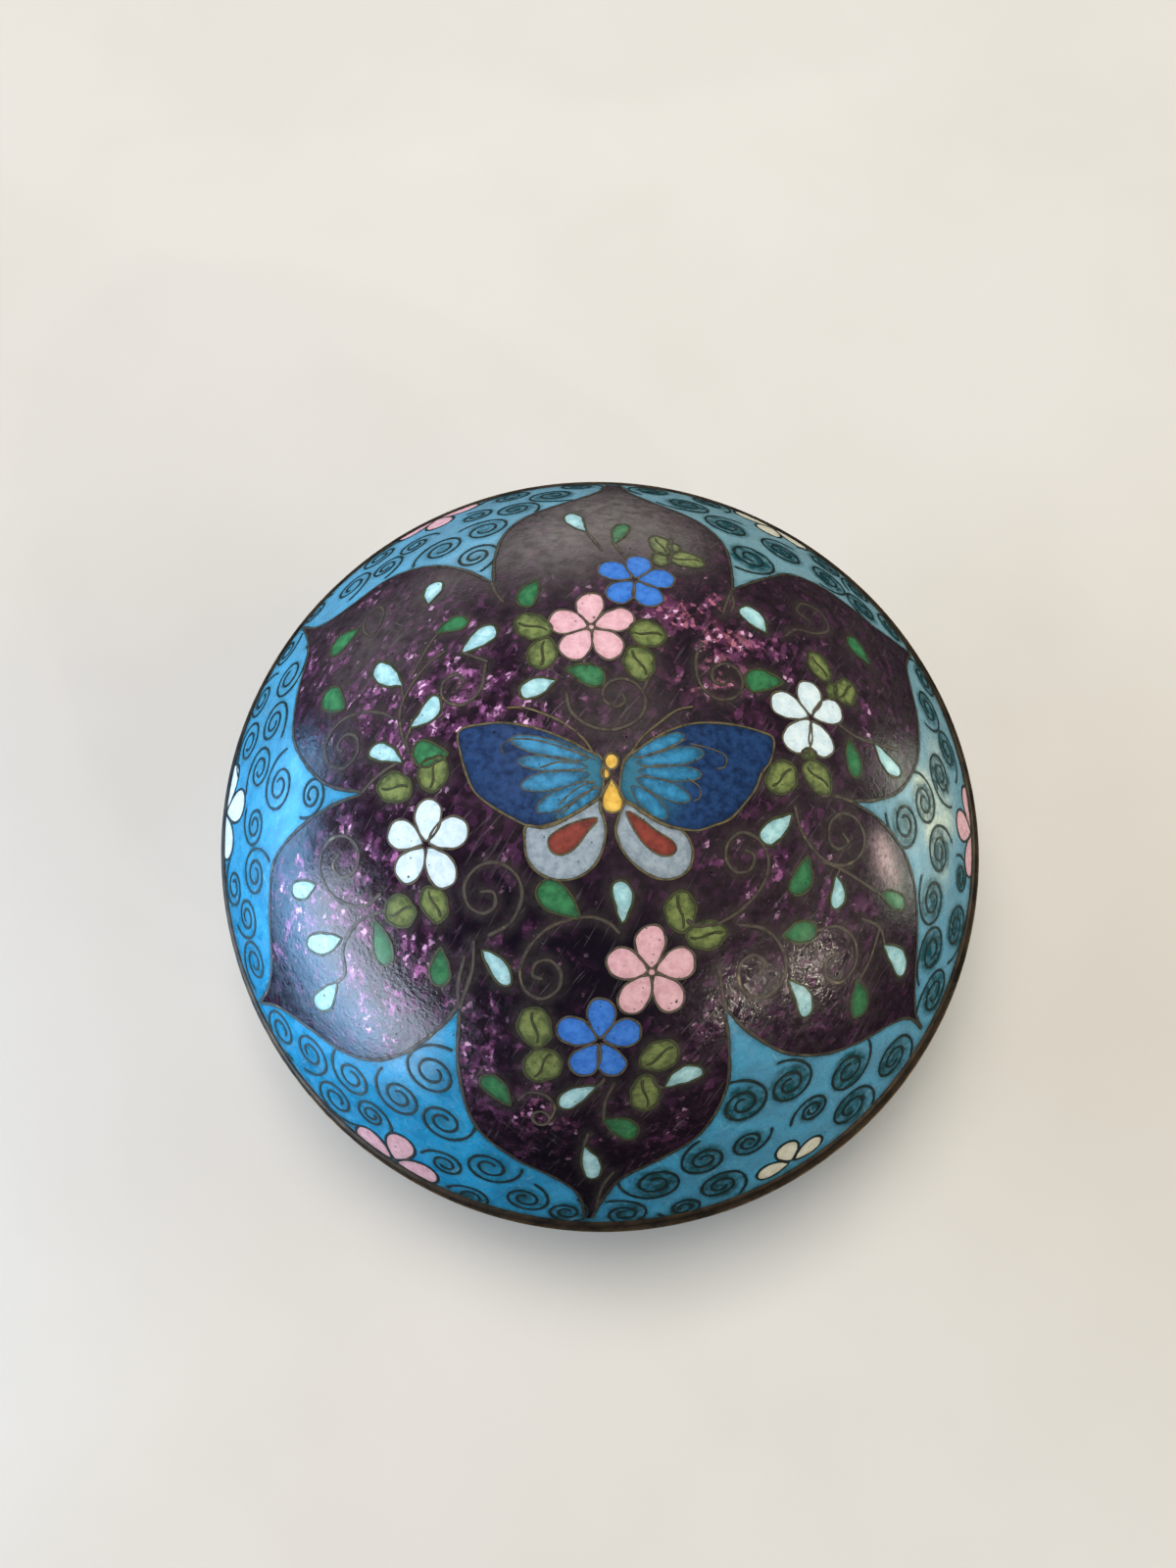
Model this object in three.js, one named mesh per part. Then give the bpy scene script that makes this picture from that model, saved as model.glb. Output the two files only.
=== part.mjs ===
// Round cloisonne enamel box: a domed lid resting on a shallow bowl with a foot ring.
// Millimetres, +Z up, origin on the table under the middle of the foot ring.
import * as THREE from "three";

// Driving dimensions
const SEGMENTS = 64; // facets round the box
const OUTER_STEPS = 15; // facets down a shell's outside
const INNER_STEPS = 11; // and down its inside
const WALL = 1.8; // copper sheet with enamel on both faces

// A shell rises from its rim as height * (1 - out ** roundness), where out runs
// from 0 at the edge of its flat middle to 1 at the rim.
const LID = { side: 1, radius: 50, flat: 0, height: 30, roundness: 2.55 };
const BOWL = { side: -1, radius: 50.4, flat: 28, height: 20, roundness: 2.5 };

const RIM_HEIGHT = 1.6; // each brass rim
const RIM_PROUD = 0.12; // how far a rim stands out from the enamel beside it
const LID_PLAY = 0.4; // the lid rests this far off centre, in the play round the collar
const LID_PLAY_ANGLE = 140; // degrees from +X

const COLLAR_RADIUS = 46.1; // outside of the upstanding lip, where it leaves the lower rim
const COLLAR_HEIGHT = 3.8;
const COLLAR_WALL = 0.9;
const COLLAR_LEAN = 1.7; // leans in by this much, clear of the lid's curve
const COLLAR_FILLET = 0.5; // below the seam, where the lip turns into the rim

const FOOT_RADIUS = BOWL.flat;
const FOOT_WIDTH = 2.4;
const FOOT_HEIGHT = 3;
const FOOT_BEVEL = 0.5;

const SEAM_HEIGHT = FOOT_HEIGHT + BOWL.height; // where lid and bowl meet

const point = (r, z) => new THREE.Vector2(r, z);

function riseAt(form, r) {
  const out = (r - form.flat) / (form.radius - form.flat);
  return form.height * (1 - out ** form.roundness);
}

function radiusAt(form, rise) {
  const out = (1 - rise / form.height) ** (1 / form.roundness);
  return form.flat + (form.radius - form.flat) * out;
}

function steepnessAt(form, r) {
  const span = form.radius - form.flat;
  const out = (r - form.flat) / span;
  return (form.height * form.roundness * out ** (form.roundness - 1)) / span;
}

// Thickness of the wall measured level, where the rim cuts it.
function levelWall(form) {
  const steepness = steepnessAt(form, radiusAt(form, RIM_HEIGHT));
  return (WALL * Math.hypot(1, steepness)) / steepness;
}

// The outside from the flat middle to the rim, with its points closer together outwards.
function outside(form, steps) {
  const rim = radiusAt(form, RIM_HEIGHT);
  return Array.from({ length: steps + 1 }, (_, i) => {
    const r = form.flat + (rim - form.flat) * Math.sin(((i / steps) * Math.PI) / 2);
    return point(r, form.side * riseAt(form, r));
  });
}

// The inside: the outside moved in by the wall, and cut level at the rim.
function inside(form, steps) {
  const moved = outside(form, steps).map((p) => {
    const steepness = steepnessAt(form, p.x);
    const length = Math.hypot(1, steepness);
    const r = Math.max(0, p.x - (WALL * steepness) / length);
    return point(r, p.y - (form.side * WALL) / length);
  });
  const rim = point(radiusAt(form, RIM_HEIGHT) - levelWall(form), form.side * RIM_HEIGHT);
  const clearance = 0.3;
  return [...moved.filter((p) => Math.abs(p.y) > RIM_HEIGHT + clearance), rim];
}

// A solid of revolution about +Z. Its profile runs anticlockwise, r to the right and z up.
function revolve(name, profile, material) {
  const geometry = new THREE.LatheGeometry(profile, SEGMENTS);
  geometry.rotateX(Math.PI / 2);
  const mesh = new THREE.Mesh(geometry, material);
  mesh.name = name;
  return mesh;
}

function ring(name, corners, material) {
  return revolve(name, [...corners, corners[0]], material);
}

function shell(name, form, material) {
  const toAxis = (points) => (form.flat > 0 ? [point(0, points[0].y), ...points] : points);
  const inner = toAxis(inside(form, INNER_STEPS));
  const outer = toAxis(outside(form, OUTER_STEPS));
  const profile = [...inner, ...outer.reverse()];
  return revolve(name, form.side > 0 ? profile : profile.reverse(), material);
}

const enamel = (name, color, roughness) =>
  new THREE.MeshStandardMaterial({ name, color, roughness, metalness: 0 });

const aventurineEnamel = enamel("aventurine enamel", 0x3a2438, 0.25);
const turquoiseEnamel = enamel("turquoise enamel", 0x3f8fb0, 0.3);
const darkBrass = new THREE.MeshStandardMaterial({
  name: "darkened brass",
  color: 0x5a4a32,
  roughness: 0.5,
  metalness: 0.9,
});

// Rounded brass rim along the lid's mouth.
function lidRim() {
  const enamelEdge = radiusAt(LID, RIM_HEIGHT);
  const inner = enamelEdge - levelWall(LID);
  return ring(
    "lid_rim",
    [
      point(LID.radius, 0),
      point(LID.radius, RIM_HEIGHT * 0.4),
      point((LID.radius * 2 + enamelEdge) / 3, RIM_HEIGHT * 0.75),
      point(enamelEdge + RIM_PROUD, RIM_HEIGHT),
      point(inner, RIM_HEIGHT),
      point(inner, 0),
    ],
    darkBrass,
  );
}

// Brass rim along the bowl's mouth, in one with the collar that keeps the lid in place.
function bowlRim() {
  const enamelEdge = radiusAt(BOWL, RIM_HEIGHT);
  const tip = COLLAR_RADIUS - COLLAR_LEAN;
  return ring(
    "bowl_rim",
    [
      point(enamelEdge - levelWall(BOWL), -RIM_HEIGHT),
      point(enamelEdge + RIM_PROUD, -RIM_HEIGHT),
      point((BOWL.radius * 2 + enamelEdge) / 3, -RIM_HEIGHT * 0.75),
      point(BOWL.radius, -RIM_HEIGHT * 0.4),
      point(BOWL.radius, 0),
      point(COLLAR_RADIUS, 0),
      point(tip, COLLAR_HEIGHT),
      point(tip - COLLAR_WALL, COLLAR_HEIGHT),
      point(COLLAR_RADIUS - COLLAR_WALL, -COLLAR_FILLET),
    ],
    darkBrass,
  );
}

// Brass ring under the flat of the bowl.
function footRing() {
  const inner = FOOT_RADIUS - FOOT_WIDTH;
  return ring(
    "foot_ring",
    [
      point(inner, 0),
      point(FOOT_RADIUS - FOOT_BEVEL, 0),
      point(FOOT_RADIUS, FOOT_BEVEL),
      point(FOOT_RADIUS, FOOT_HEIGHT),
      point(inner, FOOT_HEIGHT),
    ],
    darkBrass,
  );
}

const lid = new THREE.Group();
lid.add(shell("lid_dome", LID, aventurineEnamel), lidRim());
const playAngle = THREE.MathUtils.degToRad(LID_PLAY_ANGLE);
lid.position.set(
  LID_PLAY * Math.cos(playAngle),
  LID_PLAY * Math.sin(playAngle),
  SEAM_HEIGHT,
);

const base = new THREE.Group();
base.add(shell("bowl", BOWL, turquoiseEnamel), bowlRim());
base.position.z = SEAM_HEIGHT;

const box = new THREE.Group();
box.add(lid, base, footRing());

export default box;
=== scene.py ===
import math
import random
from functools import partial

import bpy
import numpy as np
from mathutils import Euler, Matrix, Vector
from mathutils.geometry import delaunay_2d_cdt
from mathutils.kdtree import KDTree


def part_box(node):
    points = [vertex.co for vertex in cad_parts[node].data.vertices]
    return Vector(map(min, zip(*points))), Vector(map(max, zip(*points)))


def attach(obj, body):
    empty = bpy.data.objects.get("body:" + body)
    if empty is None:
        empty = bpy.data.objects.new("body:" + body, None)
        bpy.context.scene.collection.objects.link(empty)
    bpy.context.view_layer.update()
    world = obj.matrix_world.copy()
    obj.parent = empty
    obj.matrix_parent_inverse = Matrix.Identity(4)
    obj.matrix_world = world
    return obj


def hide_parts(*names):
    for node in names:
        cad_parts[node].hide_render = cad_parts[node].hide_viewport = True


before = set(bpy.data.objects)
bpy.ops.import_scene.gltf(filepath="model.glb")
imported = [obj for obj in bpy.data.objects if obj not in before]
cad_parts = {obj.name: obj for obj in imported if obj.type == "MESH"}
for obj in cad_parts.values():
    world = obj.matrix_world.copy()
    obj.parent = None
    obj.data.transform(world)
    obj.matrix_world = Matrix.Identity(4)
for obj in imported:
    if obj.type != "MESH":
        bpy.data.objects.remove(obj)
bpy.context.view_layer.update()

MM = 0.001
DICE = random.Random(7)

# ---------------------------------------------------------------- sizes, from the frame, in mm


def box_mm(node):
    """The low and the high corner of a piece of the frame."""
    low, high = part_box(node)
    return np.array(low) / MM, np.array(high) / MM


lid_rim_low, lid_rim_high = box_mm("lid_rim")
bowl_rim_low, bowl_rim_high = box_mm("bowl_rim")
foot_low, foot_high = box_mm("foot_ring")

SEAM = lid_rim_low[2]
LID_CENTRE = (lid_rim_low[:2] + lid_rim_high[:2]) / 2
LID_RADIUS = (lid_rim_high[0] - lid_rim_low[0]) / 2
LID_HEIGHT = box_mm("lid_dome")[1][2] - SEAM
BOWL_CENTRE = (bowl_rim_low[:2] + bowl_rim_high[:2]) / 2
BOWL_RADIUS = (bowl_rim_high[0] - bowl_rim_low[0]) / 2
BOWL_HEIGHT = SEAM - box_mm("bowl")[0][2]
COLLAR_HEIGHT = bowl_rim_high[2] - SEAM
FOOT_RADIUS = (foot_high[0] - foot_low[0]) / 2
FOOT_HEIGHT = foot_high[2]
LID_ROUNDNESS = 2.55
BOWL_ROUNDNESS = 2.5
WALL = 1.8
# The enamel runs down over the top of each rim and leaves this much brass bare.
BARE_BRASS = 1.0

# How deep each layer lies under the highest points of the skin. The box was ground and
# polished after firing, so the wires stand out by no more than a hair.
GROUND = -0.08
CARTOUCHE = -0.062
INLAY = -0.047
STREAK = -0.035
WIRE = -0.012
LAYER_DEPTH = 0.32
WIRE_DEPTH = 0.2
LINING = 0.3

# The wires are about this wide, and lines are laid out with points these steps apart.
WIRE_WIDTH = 0.3
WIRE_STEP = 0.3
OUTLINE_STEP = 0.33

# ---------------------------------------------------------------- the skins of lid and bowl


class Skin:
    """The outside of the lid or the bowl, with its layout laid flat from the middle.

    A layout point (u, v), in mm, keeps its angle round the box and lies as far from
    the middle as a thread laid over the skin would reach.
    """

    def __init__(self, centre, radius, flat, height, roundness, side):
        """The flat is the radius of the level middle, and the side is 1 up or -1 down."""
        self.centre = centre
        self.side = side
        self.radii = np.linspace(0, radius, 4001)
        out = np.clip((self.radii - flat) / (radius - flat), 0, 1)
        self.rises = height * (1 - out**roundness)
        self.steepness = height * roundness * out ** (roundness - 1) / (radius - flat)
        steps = np.hypot(np.diff(self.radii), np.diff(self.rises))
        self.lengths = np.concatenate([[0], np.cumsum(steps)])
        self.edge = np.interp(-BARE_BRASS, -self.rises, self.lengths)
        self.edge_radius = np.interp(self.edge, self.lengths, self.radii)

    def radius_at(self, length):
        """How far from the axis a layout point at this distance from the middle lies."""
        return np.interp(length, self.lengths, self.radii)

    def lay(self, layout, depth):
        """Where layout points are on the box, and the skin's outward direction there."""
        length = np.hypot(layout[:, 0], layout[:, 1])
        turn = np.arctan2(layout[:, 1], layout[:, 0])
        radius = self.radius_at(length)
        rise = np.interp(length, self.lengths, self.rises)
        steep = np.interp(length, self.lengths, self.steepness)
        tilt = np.hypot(1, steep)
        outward = np.stack(
            [steep / tilt * np.cos(turn), steep / tilt * np.sin(turn), self.side / tilt], 1
        )
        middle = np.stack(
            [
                self.centre[0] + radius * np.cos(turn),
                self.centre[1] + radius * np.sin(turn),
                SEAM + self.side * rise,
            ],
            1,
        )
        return middle + outward * depth, outward

    def true_shape(self, layout, about):
        """Widens a motif sideways by what the layout gains on the real girth there."""
        about = np.asarray(about, float)
        length = math.hypot(*about)
        out = about / length
        along = np.array([-out[1], out[0]])
        gain = length / self.radius_at(length)
        away = layout - about
        return about + np.outer(away @ out, out) + np.outer(away @ along * gain, along)


LID = Skin(LID_CENTRE, LID_RADIUS, 0.0, LID_HEIGHT, LID_ROUNDNESS, 1)
BOWL = Skin(BOWL_CENTRE, BOWL_RADIUS, FOOT_RADIUS, BOWL_HEIGHT, BOWL_ROUNDNESS, -1)

# ---------------------------------------------------------------- lines and outlines


def toward(degrees):
    """The direction at an angle in the layout."""
    turn = math.radians(degrees)
    return np.array([math.cos(turn), math.sin(turn)])


def evenly(line, step):
    """The same line with its points a step apart."""
    line = np.asarray(line, float)
    steps = np.hypot(*np.diff(line, axis=0).T)
    line = line[np.concatenate([[True], steps > 1e-9])]
    steps = steps[steps > 1e-9]
    length = np.concatenate([[0], np.cumsum(steps)])
    count = max(2, int(math.ceil(length[-1] / step)) + 1)
    at = np.linspace(0, length[-1], count)
    return np.stack([np.interp(at, length, line[:, i]) for i in range(2)], 1)


def bent(points, closed=False, step=WIRE_STEP):
    """A wire bent smoothly through the points."""
    points = np.asarray(points, float)
    if closed:
        padded = np.concatenate([points[-1:], points, points[:2]])
    else:
        padded = np.concatenate(
            [2 * points[:1] - points[1:2], points, 2 * points[-1:] - points[-2:-1]]
        )
    t = np.linspace(0, 1, 12, endpoint=False)[:, None]
    runs = []
    for a, b, c, d in zip(padded, padded[1:], padded[2:], padded[3:]):
        cubic = (3 * b - a - 3 * c + d) * t**3 + (2 * a - 5 * b + 4 * c - d) * t**2
        runs.append((cubic + (c - a) * t + 2 * b) / 2)
    line = np.concatenate([*runs, points[:1] if closed else points[-1:]])
    line = evenly(line, step)
    return line[:-1] if closed else line


def both_sides(middle, half, side):
    """The outline of a cell that reaches half its breadth to each side of a middle line."""
    left = middle + np.outer(half, side)
    right = middle - np.outer(half, side)
    return evenly(np.concatenate([left, right[-2::-1]]), OUTLINE_STEP)[:-1]


def drop_outline(tip, end, width, bend, fullness=0.95):
    """A teardrop cell from its point to its round end."""
    tip, end = np.asarray(tip, float), np.asarray(end, float)
    t = (1 - np.cos(np.linspace(0, math.pi, 20))) / 2
    half = t**fullness * (1 - t) ** 0.5
    half *= width / 2 / half.max()
    axis = end - tip
    side = np.array([-axis[1], axis[0]]) / math.hypot(*axis)
    middle = tip + np.outer(t, axis) + np.outer(4 * bend * t * (1 - t), side)
    return both_sides(middle, half, side)


def leaf_outline(centre, heading, length, width):
    """A coffee-bean leaf with its two ends slightly drawn out."""
    t = (1 - np.cos(np.linspace(0, math.pi, 20))) / 2
    half = (t * (1 - t)) ** 0.56
    half *= width / 2 / half.max()
    axis = toward(heading)
    side = np.array([-axis[1], axis[0]])
    middle = centre + np.outer((t - 0.5) * length, axis)
    return both_sides(middle, half, side)


def leaf_vein(centre, heading, length, width):
    """The S-shaped wire down the middle of a leaf."""
    t = np.linspace(0.1, 0.9, 12)
    axis = toward(heading)
    side = np.array([-axis[1], axis[0]])
    sway = np.sin((t - 0.5) * 2 * math.pi) * width * 0.09
    return centre + np.outer((t - 0.5) * length, axis) + np.outer(sway, side)


def coil(centre, radius, start, hand, turns):
    """A little wire scroll, from the tail outside to the hook in the middle."""
    tail = 80.0
    sweep = np.linspace(-tail, 360 * turns, 90)
    inward = np.clip(sweep / 360, 0, None)
    reach = radius * (1 - 0.48 * np.clip(inward, 0, 1) - 0.3 * np.clip(inward - 1, 0, 1))
    reach = reach + radius * 0.42 * np.clip(-sweep / tail, 0, None) ** 1.7
    turn = np.radians(start + hand * sweep)
    return centre + np.stack([reach * np.cos(turn), reach * np.sin(turn)], 1)


def inside(points, outline):
    """Which of the points lie within the closed outline."""
    x, y = points[:, 0][:, None], points[:, 1][:, None]
    x0, y0 = outline[:, 0], outline[:, 1]
    x1, y1 = np.roll(x0, -1), np.roll(y0, -1)
    crosses = (y0 > y) != (y1 > y)
    with np.errstate(divide="ignore", invalid="ignore"):
        meets = x < (x1 - x0) * (y - y0) / (y1 - y0) + x0
    return np.sum(crosses & meets, axis=1) % 2 == 1


def tree_of(points):
    """A search tree that finds the nearest of some layout points."""
    tree = KDTree(len(points))
    for i, point in enumerate(points):
        tree.insert((point[0], point[1], 0), i)
    tree.balance()
    return tree


def gap_to(points, line):
    """How far each point is from the nearest point of the line."""
    tree = tree_of(line)
    return np.array([tree.find((p[0], p[1], 0))[2] for p in points])


def beside(layout, lines, reach):
    """How near each point is to the wires: 1 at a wire, down to 0 at the reach, in mm."""
    return np.clip(1 - gap_to(layout, np.concatenate(lines)) / reach, 0, 1)


def turn_from(layout, way):
    """How far round the lid each point lies from a direction, in degrees up to 180."""
    turn = np.degrees(np.arctan2(layout[:, 1], layout[:, 0]))
    return np.abs((turn - way + 180) % 360 - 180)


def parts_within(line, limit):
    """The stretches of a line that stay within so far of the middle of the layout."""
    kept = np.hypot(line[:, 0], line[:, 1]) <= limit
    runs, run = [], []
    for point, keep in zip(line, kept):
        if keep:
            run.append(point)
        elif run:
            runs.append(np.array(run))
            run = []
    if run:
        runs.append(np.array(run))
    return [r for r in runs if len(r) > 3]


# ---------------------------------------------------------------- colour and nodes


# Lead glass lies between window glass and crystal.
ENAMEL_IOR = 1.52


def srgb(code):
    """A linear colour from an sRGB hex code."""
    values = [int(code[i : i + 2], 16) / 255 for i in (1, 3, 5)]
    linear = [v / 12.92 if v <= 0.04045 else ((v + 0.055) / 1.055) ** 2.4 for v in values]
    return (*linear, 1.0)


def add(tree, kind, feeds=None, **settings):
    """Adds one node with its settings and links; a feed is a value, a socket or a node."""
    made = tree.nodes.new("ShaderNode" + kind)
    for name, value in settings.items():
        setattr(made, name, value)
    live = [socket for socket in made.inputs if socket.enabled]
    for key, value in (feeds or {}).items():
        socket = live[key] if isinstance(key, int) else next(s for s in live if s.name == key)
        if isinstance(value, bpy.types.Node):
            value = next(s for s in value.outputs if s.enabled)
        if isinstance(value, bpy.types.NodeSocket):
            tree.links.new(value, socket)
        else:
            socket.default_value = value
    return made


def start_material(name):
    """An empty material, its tree and the place on the box in metres."""
    material = bpy.data.materials.new(name)
    material.use_nodes = True
    tree = material.node_tree
    tree.nodes.clear()
    place = add(tree, "TexCoord").outputs["Object"]
    return material, tree, place


def end_material(material, looks):
    """Gives the material a surface with these looks and returns it."""
    surface = add(material.node_tree, "BsdfPrincipled", looks)
    add(material.node_tree, "OutputMaterial", {"Surface": surface})
    return material


def end_enamel(material, colour, rough, polish):
    """Ends an enamel, which is lead glass with this colour, gloss and polish."""
    looks = {"Base Color": colour, "Roughness": rough, "IOR": ENAMEL_IOR, "Normal": polish}
    return end_material(material, looks)


def per_mm(size):
    """A pattern scale whose cells are so many mm across."""
    return 1 / (size * MM)


def coats(tree, colour, *layers):
    """Lays thin coats of colour over each other; each coat is (share, colour)."""
    for share, over in layers:
        feeds = {"Factor": share, "A": colour, "B": over}
        colour = add(tree, "Mix", feeds, data_type="RGBA")
    return colour


def patches(tree, place, size, low, high, first=0.0, last=1.0, detail=3.0):
    """Soft uneven patches of about so many mm, from the first value to the last."""
    feeds = {"Vector": place, "Scale": per_mm(size), "Detail": detail, "Roughness": 0.62}
    noise = add(tree, "TexNoise", feeds)
    feeds = {"Value": noise, "From Min": low, "From Max": high, "To Min": first, "To Max": last}
    return add(tree, "MapRange", feeds, interpolation_type="SMOOTHSTEP")


def patchy_mark(tree, mark, place, size):
    """A value that was marked on the mesh, broken up by patches of so many mm."""
    marked = add(tree, "Attribute", attribute_name=mark).outputs["Fac"]
    broken = patches(tree, place, size, 0.3, 0.65, 0.45, 1.15)
    feeds = {0: marked, 1: broken}
    return add(tree, "Math", feeds, operation="MULTIPLY", use_clamp=True)


def pinholes(tree, place, spacing, share, hole):
    """Burst bubbles: a round pit of so many mm in a share of the cells."""
    cells = add(tree, "TexVoronoi", {"Vector": place, "Scale": per_mm(spacing)})
    lot = add(tree, "SeparateColor", {"Color": cells.outputs["Color"]})
    feeds = {0: lot.outputs["Red"], 1: 1 - share}
    chosen = add(tree, "Math", feeds, operation="GREATER_THAN")
    size = hole / spacing
    feeds = {"Value": cells.outputs["Distance"], "From Min": size * 0.5, "From Max": size}
    feeds.update({"To Min": 1.0, "To Max": 0.0})
    pit = add(tree, "MapRange", feeds)
    return add(tree, "Math", {0: chosen, 1: pit}, operation="MULTIPLY")


def scratches(tree, place, turn, rarity, share):
    """Fine polishing scratches about 5 mm long, drawn 0.15 mm wide so that they show."""
    feeds = {"Vector": place, "Rotation": (0, 0, math.radians(turn))}
    feeds["Scale"] = (5 * MM, 0.3 * MM, 2.5 * MM)
    drawn = add(tree, "Mapping", feeds, vector_type="TEXTURE")
    streak = add(tree, "TexNoise", {"Vector": drawn, "Scale": 1.0, "Detail": 1.0})
    feeds = {"Value": streak, "From Min": rarity, "From Max": rarity + 0.06, "To Max": share}
    return add(tree, "MapRange", feeds)


def uneven_polish(tree, place, size, rise, grain, pits=None):
    """The faint waves and fine grain that hand grinding leaves, and its open pits."""
    feeds = {"Vector": place, "Scale": per_mm(size), "Detail": 1.0}
    wave = add(tree, "TexNoise", feeds)
    feeds = {"Strength": 1.0, "Distance": rise * MM, "Height": wave}
    bump = add(tree, "Bump", feeds)
    feeds = {"Vector": place, "Scale": per_mm(0.45), "Detail": 3.0, "Roughness": 0.6}
    fine = add(tree, "TexNoise", feeds)
    feeds = {"Strength": 1.0, "Distance": grain * MM, "Height": fine, "Normal": bump}
    bump = add(tree, "Bump", feeds)
    if pits is not None:
        feeds = {"Strength": 1.0, "Distance": 0.05 * MM, "Height": pits, "Normal": bump}
        bump = add(tree, "Bump", feeds, invert=True)
    return bump


def turquoise_enamel():
    """Opaque turquoise lead-glass enamel, fired, ground flush and polished.

    The eye sees a clear sky blue in the open patches, a dark sea green where silt has
    settled in the scrolls, a grey bloom at the right and the back that is partly a dull
    film and partly a painted reflection haze, a few pale spots of painted glare at the
    right shoulder, small dark pits, fine scratches and a soft gloss.
    """
    material, tree, place = start_material("opaque turquoise enamel")
    smoke_and_sheen = add(tree, "Attribute", attribute_name="smoke_and_sheen").outputs["Fac"]
    pits = pinholes(tree, place, 1.2, 0.2, 0.13)
    colour = coats(
        tree,
        srgb("#1a9cd0"),
        (patches(tree, place, 5.0, 0.35, 0.65), srgb("#0d83b4")),
        (patches(tree, place, 1.1, 0.48, 0.78, 0.0, 0.4), srgb("#55b0cc")),
        # grey bloom: partly a dull film, partly a painted reflection haze at the back and right
        (smoke_and_sheen, srgb("#86a3a4")),
        # painted highlight: pale glare spots at the right shoulder
        (patchy_mark(tree, "painted_glare", place, 0.8), srgb("#d3decb")),
        (patchy_mark(tree, "silt", place, 1.3), srgb("#14474f")),
        (patches(tree, place, 0.3, 0.42, 0.75, 0.0, 0.3, 2.0), srgb("#15505f")),
        (pits, srgb("#0f2e36")),
        (scratches(tree, place, 35, 0.71, 0.3), srgb("#9ecbd2")),
        (scratches(tree, place, -50, 0.72, 0.3), srgb("#9ecbd2")),
    )
    rough = patches(tree, place, 2.0, 0.3, 0.7, 0.2, 0.38)
    polish = uneven_polish(tree, place, 2.4, 0.04, 0.02, pits)
    return end_enamel(material, colour, rough, polish)


def spangle_layer(tree, place, size, crowd, softness):
    """Foil flakes of so many mm, like crushed glass; returns their share and their lots."""
    feeds = {"Vector": place, "Scale": per_mm(0.5), "Detail": 2.0, "Roughness": 0.6}
    ragged = add(tree, "TexNoise", feeds).outputs["Color"]
    feeds = {0: ragged, 1: (1.3 * size * MM,) * 3, 2: place}
    shifted = add(tree, "VectorMath", feeds, operation="MULTIPLY_ADD")
    feeds = {"Vector": shifted, "Rotation": (0, 0, math.radians(58)), "Scale": (1.5, 1.0, 1.0)}
    drawn = add(tree, "Mapping", feeds, vector_type="TEXTURE")
    cells = add(tree, "TexVoronoi", {"Vector": drawn, "Scale": per_mm(size)})
    lot = add(tree, "SeparateColor", {"Color": cells.outputs["Color"]})
    feeds = {0: crowd, 1: lot.outputs["Red"]}
    reach = add(tree, "Math", feeds, operation="ADD")
    feeds = {"Value": reach, "From Min": 1.0, "From Max": 1.0 + softness}
    return add(tree, "MapRange", feeds), lot


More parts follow.
